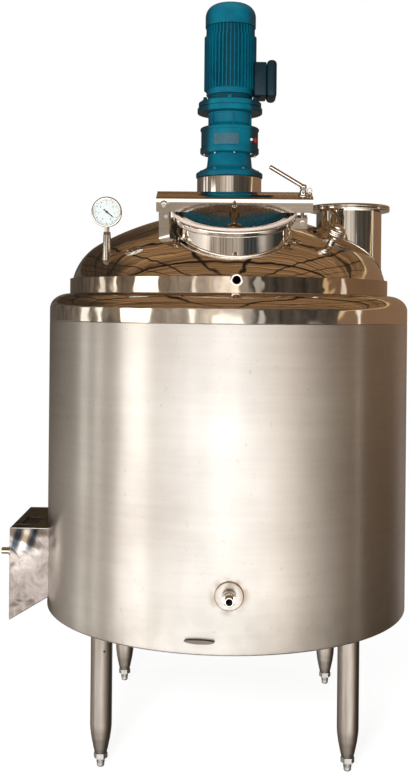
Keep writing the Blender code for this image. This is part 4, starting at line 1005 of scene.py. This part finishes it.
def makeGauge():
    g = dial
    spot = tankAxis + Vector((g["x"], g["y"], 0))
    base = domeHeight(math.hypot(g["x"], g["y"])) - 0.008
    outline = rounded([(0, g["socketTop"], 0), (g["socketRadius"] - 0.002, g["socketTop"], 0.001),
                       (g["socketRadius"] - 0.001, g["socketTop"] - 0.01, 0.003),
                       (g["socketRadius"] + 0.002, base + 0.004, 0.002), (g["socketRadius"] + 0.004, base, 0),
                       (0, base, 0)])
    piece("gaugeSocket", turned(outline, 40), calmMirror, Matrix.Translation(spot), replaced=["gauge_socket"])
    half = g["depth"] / 2
    r = g["radius"]
    outline = rounded([(r - 0.006, half, 0.0015), (r, half, 0.003), (r, half - 0.008, 0.002),
                       (r - 0.003, half - 0.009, 0.001), (r - 0.003, -half, 0.004), (0, -half, 0),
                       (0, half - 0.009, 0), (r - 0.006, half - 0.009, 0)])
    facing = Matrix.Translation(spot + Vector((0, 0, g["z"]))) @ facingFront
    stem = turned([(0, 1), (g["stemRadius"], 1), (g["stemRadius"], 0), (0, 0)], 24)
    stem.transform(Matrix.Translation(spot + Vector((0, 0, g["socketTop"] + 0.0003)))
                   @ Matrix.Diagonal((1, 1, g["z"] - r + 0.008 - g["socketTop"], 1)))
    piece("gaugeCase", turned(outline, 72), calmMirror, facing, replaced=["gauge_case"], joined=[stem])
    face = half - 0.008
    piece("dialFace", turned([(0, face), (r - 0.0065, face), (r - 0.0065, face - 0.0008), (0, face - 0.0008)], 64),
          dialWhite, facing)
    grown("dialMarks", barRing, {"Count": 60, "Ring Radius": r - 0.0105, "Height": face + 0.0002,
                                 "First Angle": 0.0, "Across": 0.0036, "Depth": 0.0004, "Thick": 0.0006},
          dialBlack, place=facing)
    grown("dialLongMarks", barRing, {"Count": 12, "Ring Radius": r - 0.0125, "Height": face + 0.0003,
                                     "First Angle": 0.0, "Across": 0.0075, "Depth": 0.0004, "Thick": 0.0012},
          dialBlack, place=facing)
    numbers = []
    for k in range(7):  # figures 0 to 6 from lower left round to lower right
        angle = math.radians(240 - 50 * k)
        text = bpy.data.curves.new("figure", "FONT")
        text.body = str(k)
        text.size = 0.0088
        text.align_x, text.align_y = "CENTER", "CENTER"
        text.extrude = 0.0002
        holder = bpy.data.objects.new("figure", text)
        bpy.context.scene.collection.objects.link(holder)
        bpy.context.view_layer.update()
        mesh = bpy.data.meshes.new_from_object(holder.evaluated_get(bpy.context.evaluated_depsgraph_get()))
        shape = bmesh.new()
        shape.from_mesh(mesh)
        shape.transform(Matrix.Translation((math.cos(angle) * 0.0265, math.sin(angle) * 0.0265, face + 0.0003)))
        numbers.append(shape)
        bpy.data.objects.remove(holder, do_unlink=True)
        bpy.data.curves.remove(text)
        bpy.data.meshes.remove(mesh)
    piece("dialFigures", gather(numbers), dialBlack, facing)
    outline = [(-0.013, -0.0019), (0.022, -0.0016), (0.031, 0), (0.022, 0.0016), (-0.013, 0.0019)]
    needle = slab(outline, face + 0.0016, face + 0.0024)
    needle.transform(Matrix.Rotation(math.radians(g["needle"]), 4, "Z"))
    turned([(0, face + 0.0032), (0.0038, face + 0.0032), (0.0038, face), (0, face)], 24, needle)
    piece("dialNeedle", needle, dialBlack, facing)


makeFeed()
makeDomeStub()
makeGauge()
print("dome fittings ready")

inlet = {"x": 0.0115, "z": 0.61, "radius": 0.014, "bore": 0.01, "length": 0.068, "padRadius": 0.044,
         "padThick": 0.006, "unionRadius": 0.021, "unionFront": 0.028, "unionBack": 0.05}
lip = {"x": -0.075, "z": 0.4755, "halfWidth": 0.046, "height": 0.016, "reach": 0.012}


def makeShellFittings():
    s = stub
    reach = vessel["collarRadius"] + s["length"]
    outline = rounded([(s["radius"], reach - 0.072, 0), (s["radius"], reach, 0.0022), (s["bore"], reach, 0.0015),
                       (s["bore"], reach - 0.072, 0)])
    piece("collarStub", turned(outline, 48), calmMirror, onStub, replaced=["collar_stub"],
          inside=(s["bore"] * 1.03, darkBore))
    i = inlet
    wall = vessel["jacketRadius"]
    front = wall + i["length"]
    onInlet = Matrix.Translation(tankAxis + Vector((i["x"], 0, i["z"]))) @ facingFront
    outline = rounded([(0, front - 0.048, 0), (i["bore"], front - 0.048, 0), (i["bore"], front, 0.001),
                       (i["radius"], front, 0.0018), (i["radius"], front - i["unionFront"], 0),
                       (i["unionRadius"], front - i["unionFront"] - 0.0015, 0.002),
                       (i["unionRadius"], front - i["unionBack"], 0.002), (i["radius"], front - i["unionBack"], 0),
                       (i["radius"], wall + i["padThick"], 0), (0, wall + i["padThick"], 0)])
    piece("inletPipe", turned(outline, 40), calmMirror, onInlet, replaced=["jacket_inlet"],
          inside=(i["bore"] * 1.03, darkBore))
    pad = wall + i["padThick"]
    outline = rounded([(0, pad - 0.0003, 0), (i["padRadius"], pad - 0.0003, 0.004), (i["padRadius"], pad - 0.02, 0),
                       (0, pad - 0.02, 0)])
    piece("inletPad", turned(outline, 64), jacketSatin, onInlet, replaced=["inlet_pad"],
          cuts=[rod(wall, 0.4, 1.0, onTank, 192)])
    swing = math.asin(lip["x"] / wall)
    place = (Matrix.Translation(tankAxis + Vector((lip["x"], -wall * math.cos(swing), lip["z"])))
             @ Matrix.Rotation(swing, 4, "Z") @ facingFront)
    outline = []
    for k in range(24):
        angle = 2 * math.pi * k / 24
        drop = 0.5 if math.sin(angle) > 0 else 1.0  # flat above, full below
        outline.append((lip["halfWidth"] * math.cos(angle), lip["height"] / 2 * math.sin(angle) * drop))
    hood = softened(slab(outline, -0.01, lip["reach"] - 0.0005), 0.002, 2, 50)
    # The lip's dark steel colour is painted shade under the hood
    piece("jacketLip", hood, dullSteelAndLipShade, place, replaced=["jacket_lip"],
          cuts=[rod(wall + 0.0002, 0.3, 0.8, onTank, 192)])


box = {"left": -0.736, "front": -0.17, "back": 0.21, "top": 0.708, "bottomOuter": 0.393, "bottomInner": 0.46,
       "edge": 0.0035, "glandY": -0.12, "glandZ": 0.619, "glandRadius": 0.011, "glandReach": -0.772}


def makeSideBox():
    b = box
    wall = vessel["jacketRadius"]
    inner = -wall * 0.9
    slope = (b["bottomInner"] - b["bottomOuter"]) / (-wall - b["left"])
    innerZ = b["bottomOuter"] + slope * (inner - b["left"])
    outline = [(b["left"], b["bottomOuter"]), (inner, innerZ), (inner, b["top"]), (b["left"], b["top"])]
    shape = slab(outline, -b["back"], -b["front"])
    # The slab runs along Z with (x, y) as (x, up): it is turned to face the front
    shape.transform(facingFront)
    bmesh.ops.recalc_face_normals(shape, faces=shape.faces)
    softened(shape, b["edge"], 4)
    recess = roundedBox((-0.71, -0.1, b["top"] - 0.012), (-0.652, 0.032, b["top"] + 0.02), 0.004)
    recess.transform(onTank)
    piece("sideBox", shape, boxSheet, onTank, replaced=["side_box"],
          cuts=[rod(wall + 0.0003, 0.2, 1.2, onTank, 192), recess])
    cover = roundedBox((-0.7085, -0.0985, b["top"] - 0.0118), (-0.6535, 0.0305, b["top"] - 0.006), 0.0015, 2)
    piece("recessPlate", cover, darkGasketAndSlotShade)
    # A pale rod along the top front edge of the box is a painted highlight
    ends = [(b["left"] + 0.0025, b["front"] + 0.0015, b["top"] - 0.0015), (-0.6025, b["front"] + 0.0015, b["top"] - 0.0015)]
    piece("boxEdge", swept([ends[0], ((ends[0][0] + ends[1][0]) / 2, ends[0][1], ends[0][2]), ends[1]], 0.0014, 8),
          paleHighlight, smoothAngle=60)
    onGland = Matrix.Translation(tankAxis + Vector((0, b["glandY"], b["glandZ"]))) @ facingLeft
    base = -b["left"] + 0.0003
    end = -b["glandReach"]
    outline = rounded([(0, base, 0), (0.016, base, 0), (0.016, base + 0.0095, 0.0015), (b["glandRadius"], base + 0.012, 0),
                       (b["glandRadius"], end, 0.0015), (0.0075, end, 0.001), (0.0075, end - 0.015, 0),
                       (0, end - 0.015, 0)])
    piece("boxGland", turned(outline, 32), calmMirror, onGland, replaced=["box_gland"], inside=(0.0077, darkBore))


makeShellFittings()
makeSideBox()
print("shell fittings ready")

# The polished steel mirrors a workshop: walls with windows and a doorway, a boarded roof and a floor.
# Azimuth runs from the front towards the right and elevation upwards, in degrees. Each stop is (azimuth,
# brightness, warmth).
wallStops = [(-180, 0.1, 1.2), (-130, 0.1, 1.0), (-104, 0.2, 1.1), (-70, 0.2, 1.2), (-46, 0.26, 1.2), (-29, 0.4, 0.9),
             (-14, 0.62, 0.7), (0, 0.72, 0.6), (13, 0.6, 0.6), (16, 0.09, 0.8), (50, 0.07, 1.0), (74, 0.08, 1.2),
             (90, 0.2, 1.3), (115, 0.16, 1.2), (180, 0.1, 1.2)]
floorStops = [(-180, 0.18, 1.0), (-150, 0.2, 1.0), (-118, 0.46, 0.8), (-92, 0.76, 0.7), (-77, 1.0, 0.6),
              (-64, 1.4, 0.4), (-52, 2.1, 0.3), (-36, 2.7, 0.2), (-20, 3.0, 0.0), (2, 3.0, 0.0), (14, 3.3, 0.1),
              (25, 3.2, 0.4), (38, 2.4, 0.6), (50, 1.5, 0.7), (66, 0.7, 0.8), (80, 0.22, 0.9), (97, 0.04, 0.4),
              (128, 0.03, 0.3), (145, 0.25, 0.6), (180, 0.18, 1.0)]
nearStops = [(-180, 0.1, 1.0), (-90, 0.06, 1.0), (-80, 0.42, 1.3), (-40, 0.38, 1.1), (16, 0.46, 1.0),
             (24, 0.08, 0.2), (60, 0.035, -0.6), (92, 0.03, -0.6), (100, 0.14, 1.2), (180, 0.1, 1.0)]
windows = [  # azimuth from and to, elevation from and to, brightness
    (-104, -96, -12, 7, 1.1), (-88, -84.5, -14, 8, 1.6), (-68, -49, -12, 6.5, 2.2), (-9, 8, -12, 2, 0.9),
    (-24, -20, -8, 4, 0.9), (18, 22, -4, 4, 0.5), (86, 89, -8, 6, 0.9)]
stage = {"paper": 1.0, "room": 0.07, "floorFade": 2.4, "floorEdge": 5.5}


def makeWorld():
    world = bpy.data.worlds.new("workshop")
    bpy.context.scene.world = world
    world.use_nodes = True
    tree = world.node_tree
    tree.nodes.clear()
    look = addNode(tree, "ShaderNodeTexCoord").outputs["Generated"]
    parts = addNode(tree, "ShaderNodeSeparateXYZ", {0: look}).outputs
    degrees = 180 / math.pi
    azimuth = maths(tree, "MULTIPLY", maths(tree, "ARCTAN2", parts[0], maths(tree, "MULTIPLY", parts[1], -1.0)), degrees)
    rise = maths(tree, "MULTIPLY", maths(tree, "ARCSINE", parts[2]), degrees)
    share = spread(tree, azimuth, -180.0, 180.0)

    def band(stops):
        top = max(level for _, level, _ in stops)
        ramp = addNode(tree, "ShaderNodeValToRGB", {0: share})
        elements = ramp.color_ramp.elements
        for k, (angle, level, warmth) in enumerate(stops):
            spot = (angle + 180) / 360
            if k < 2:
                elements[k].position = spot
                element = elements[k]
            else:
                element = elements.new(spot)
            tone = level / top
            element.color = (tone, tone * (1 - 0.14 * warmth), tone * (1 - 0.28 * warmth), 1)
        return addNode(tree, "ShaderNodeVectorMath", {0: ramp.outputs[0], 3: top}, operation="SCALE").outputs[0]

    height = maths(tree, "MAXIMUM", parts[2], 0.1)
    roof = addNode(tree, "ShaderNodeCombineXYZ", {"X": maths(tree, "DIVIDE", parts[0], height),
                                                  "Y": maths(tree, "DIVIDE", parts[1], height)}).outputs[0]
    stretched = addNode(tree, "ShaderNodeMapping", {"Vector": roof, "Scale": (0.4, 15.0, 1)}).outputs[0]
    boards = noise(tree, stretched, 1.0, 3.0)
    brown = blended(tree, spread(tree, boards, 0.36, 0.64), (0.44, 0.25, 0.12, 1), (0.12, 0.068, 0.033, 1))
    gaps = addNode(tree, "ShaderNodeTexWave", {"Vector": roof, "Scale": 3.4, "Distortion": 1.2, "Detail": 2.0,
                                               "Detail Scale": 1.0}, bands_direction="Y").outputs[1]
    trusses = addNode(tree, "ShaderNodeTexWave", {"Vector": roof, "Scale": 0.55, "Distortion": 2.4, "Detail": 2.0,
                                                  "Detail Scale": 1.2}, bands_direction="X").outputs[1]
    rails = addNode(tree, "ShaderNodeTexWave", {"Vector": roof, "Scale": 0.3, "Distortion": 2.0, "Detail": 2.0},
                    bands_direction="Y").outputs[1]
    dark = maths(tree, "MAXIMUM", maths(tree, "MULTIPLY", spread(tree, gaps, 0.82, 0.98), 0.6),
                 maths(tree, "MAXIMUM", spread(tree, trusses, 0.95, 0.99), spread(tree, rails, 0.96, 0.99)))
    roofColour = blended(tree, dark, brown, (0.015, 0.012, 0.01, 1))
    shadow = maths(tree, "MULTIPLY", within(tree, azimuth, -172, -86, 9), spread(tree, rise, 48, 30, smooth=True))
    roofColour = blended(tree, maths(tree, "MULTIPLY", shadow, 0.82), roofColour, (0.02, 0.018, 0.016, 1))

    clutter = noise(tree, addNode(tree, "ShaderNodeCombineXYZ", {
        "X": maths(tree, "DIVIDE", azimuth, 5.0), "Y": maths(tree, "DIVIDE", rise, 9.0)}).outputs[0], 1.0, 3.0)
    walls = blended(tree, 1.0, band(wallStops), addNode(tree, "ShaderNodeCombineColor", {
        0: spread(tree, clutter, 0.3, 0.7, 0.45, 1.55), 1: spread(tree, clutter, 0.3, 0.7, 0.45, 1.5),
        2: spread(tree, clutter, 0.3, 0.7, 0.5, 1.4)}).outputs[0], "MULTIPLY")
    colour = blended(tree, spread(tree, rise, 13.0, 10.0, smooth=True), roofColour, walls)

    # A plain wall on the right rises to a bright eave that runs up towards the back
    eave = maths(tree, "MULTIPLY", maths(tree, "SUBTRACT", azimuth, 68.0), 0.33)
    under = maths(tree, "SUBTRACT", rise, eave)
    rightSide = spread(tree, azimuth, 69.0, 71.0)
    plainWall = maths(tree, "MULTIPLY", spread(tree, under, 0.5, -0.5), rightSide)
    colour = blended(tree, plainWall, colour, (0.25, 0.15, 0.09, 1))
    line = maths(tree, "MULTIPLY", within(tree, under, -0.9, 0.9, 0.4), rightSide)
    colour = blended(tree, line, colour, (0.85, 0.62, 0.34, 1))

    colour = blended(tree, spread(tree, rise, -2.0, -6.0, smooth=True), colour, band(floorStops))
    stripes = noise(tree, addNode(tree, "ShaderNodeCombineXYZ", {
        "X": maths(tree, "DIVIDE", azimuth, 3.5), "Y": maths(tree, "DIVIDE", rise, 60.0)}).outputs[0], 1.0, 3.0)
    stripes = spread(tree, stripes, 0.3, 0.7, 0.35, 1.6)
    near = addNode(tree, "ShaderNodeVectorMath", {0: band(nearStops), 3: stripes}, operation="SCALE").outputs[0]
    colour = blended(tree, spread(tree, rise, -27.0, -34.0, smooth=True), colour, near)
    lights = None
    for azLow, azHigh, low, high, power in windows:
        patch = maths(tree, "MULTIPLY", within(tree, azimuth, azLow, azHigh, 0.8), within(tree, rise, low, high, 0.8))
        patch = maths(tree, "MULTIPLY", patch, power)
        lights = patch if lights is None else maths(tree, "ADD", lights, patch)
    glow = addNode(tree, "ShaderNodeCombineColor", {0: lights, 1: maths(tree, "MULTIPLY", lights, 0.98),
                                                    2: maths(tree, "MULTIPLY", lights, 0.93)}).outputs[0]
    colour = blended(tree, 1.0, colour, glow, "ADD")
    workshop = addNode(tree, "ShaderNodeBackground", {"Color": colour, "Strength": 1.0}).outputs[0]
    room = addNode(tree, "ShaderNodeBackground", {"Color": (0.95, 0.97, 1, 1), "Strength": stage["room"]}).outputs[0]
    paper = addNode(tree, "ShaderNodeBackground", {"Color": (1, 1, 1, 1), "Strength": stage["paper"]}).outputs[0]
    path = addNode(tree, "ShaderNodeLightPath").outputs
    lit = addNode(tree, "ShaderNodeMixShader", {0: path["Is Diffuse Ray"], 1: workshop, 2: room}).outputs[0]
    seen = addNode(tree, "ShaderNodeMixShader", {0: path["Is Camera Ray"], 1: lit, 2: paper}).outputs[0]
    addNode(tree, "ShaderNodeOutputWorld", {0: seen})


def makeFloor():
    # Pale floor that fades into the white backdrop
    shape = bmesh.new()
    shape.faces.new([shape.verts.new((math.cos(2 * math.pi * k / 64) * stage["floorEdge"],
                                      math.sin(2 * math.pi * k / 64) * stage["floorEdge"], -0.0005)) for k in range(64)])
    material, tree, shader = newMaterial("pale floor")
    shader.inputs["Base Color"].default_value = (0.3, 0.3, 0.3, 1)
    shader.inputs["Roughness"].default_value = 0.9
    shader.inputs["Emission Color"].default_value = (1, 1, 1, 1)
    shader.inputs["Emission Strength"].default_value = 0.89
    distance = addNode(tree, "ShaderNodeVectorMath", {0: objectSpace(tree)}, operation="LENGTH").outputs["Value"]
    fade = spread(tree, distance, 0.6, stage["floorFade"], smooth=True)
    clear = addNode(tree, "ShaderNodeBsdfTransparent").outputs[0]
    mix = addNode(tree, "ShaderNodeMixShader", {0: fade, 1: shader.outputs[0], 2: clear}).outputs[0]
    tree.links.new(mix, tree.nodes["Material Output"].inputs[0])
    floor = plainObject("floor", shape, material)
    floor.visible_glossy = False
    floor.visible_diffuse = False


def makeLights():
    # Broad lamps for the enamel and the dial; the steel takes its light from the workshop alone
    def softbox(name, spot, aim, size, power, tint=(1, 1, 1)):
        lamp = bpy.data.lights.new(name, "AREA")
        lamp.shape = "RECTANGLE"
        lamp.size, lamp.size_y = size
        lamp.energy = power
        lamp.color = tint
        made = bpy.data.objects.new(name, lamp)
        made.location = spot
        made.rotation_euler = (Vector(aim) - Vector(spot)).to_track_quat("-Z", "Y").to_euler()
        made.visible_glossy = False
        bpy.context.scene.collection.objects.link(made)

    softbox("key", (-0.7, -4.0, 1.9), (0.07, 0.03, 1.8), (1.0, 1.0), 165)
    softbox("top", (0.1, -0.2, 5.5), (0.07, 0.03, 0.0), (4.0, 4.0), 90)


def makeCamera():
    # The photographer stood back and held the camera level, with the frame shifted down
    view = {"distance": 3.762, "height": 1.462, "focal": 1060.0, "frame": 772.0, "sensor": 36.0, "pan": 1.27,
            "roll": 0.55, "horizon": 308.0, "middle": 386.0}
    camera = bpy.data.cameras.new("camera")
    camera.sensor_fit = "AUTO"
    camera.sensor_width = view["sensor"]
    camera.lens = view["focal"] * view["sensor"] / view["frame"]
    camera.shift_y = (view["horizon"] - view["middle"]) / view["frame"]
    made = bpy.data.objects.new("camera", camera)
    place = Matrix.Translation(tankAxis + Vector((0, -view["distance"], view["height"])))
    turn = (Matrix.Rotation(math.radians(view["pan"]), 4, "Z") @ Matrix.Rotation(math.pi / 2, 4, "X")
            @ Matrix.Rotation(math.radians(view["roll"]), 4, "Z"))
    made.matrix_world = place @ turn
    bpy.context.scene.collection.objects.link(made)
    bpy.context.scene.camera = made


makeFloor()
makeWorld()
makeLights()
makeCamera()
bpy.context.scene.view_settings.view_transform = "Standard"
print("stage ready")
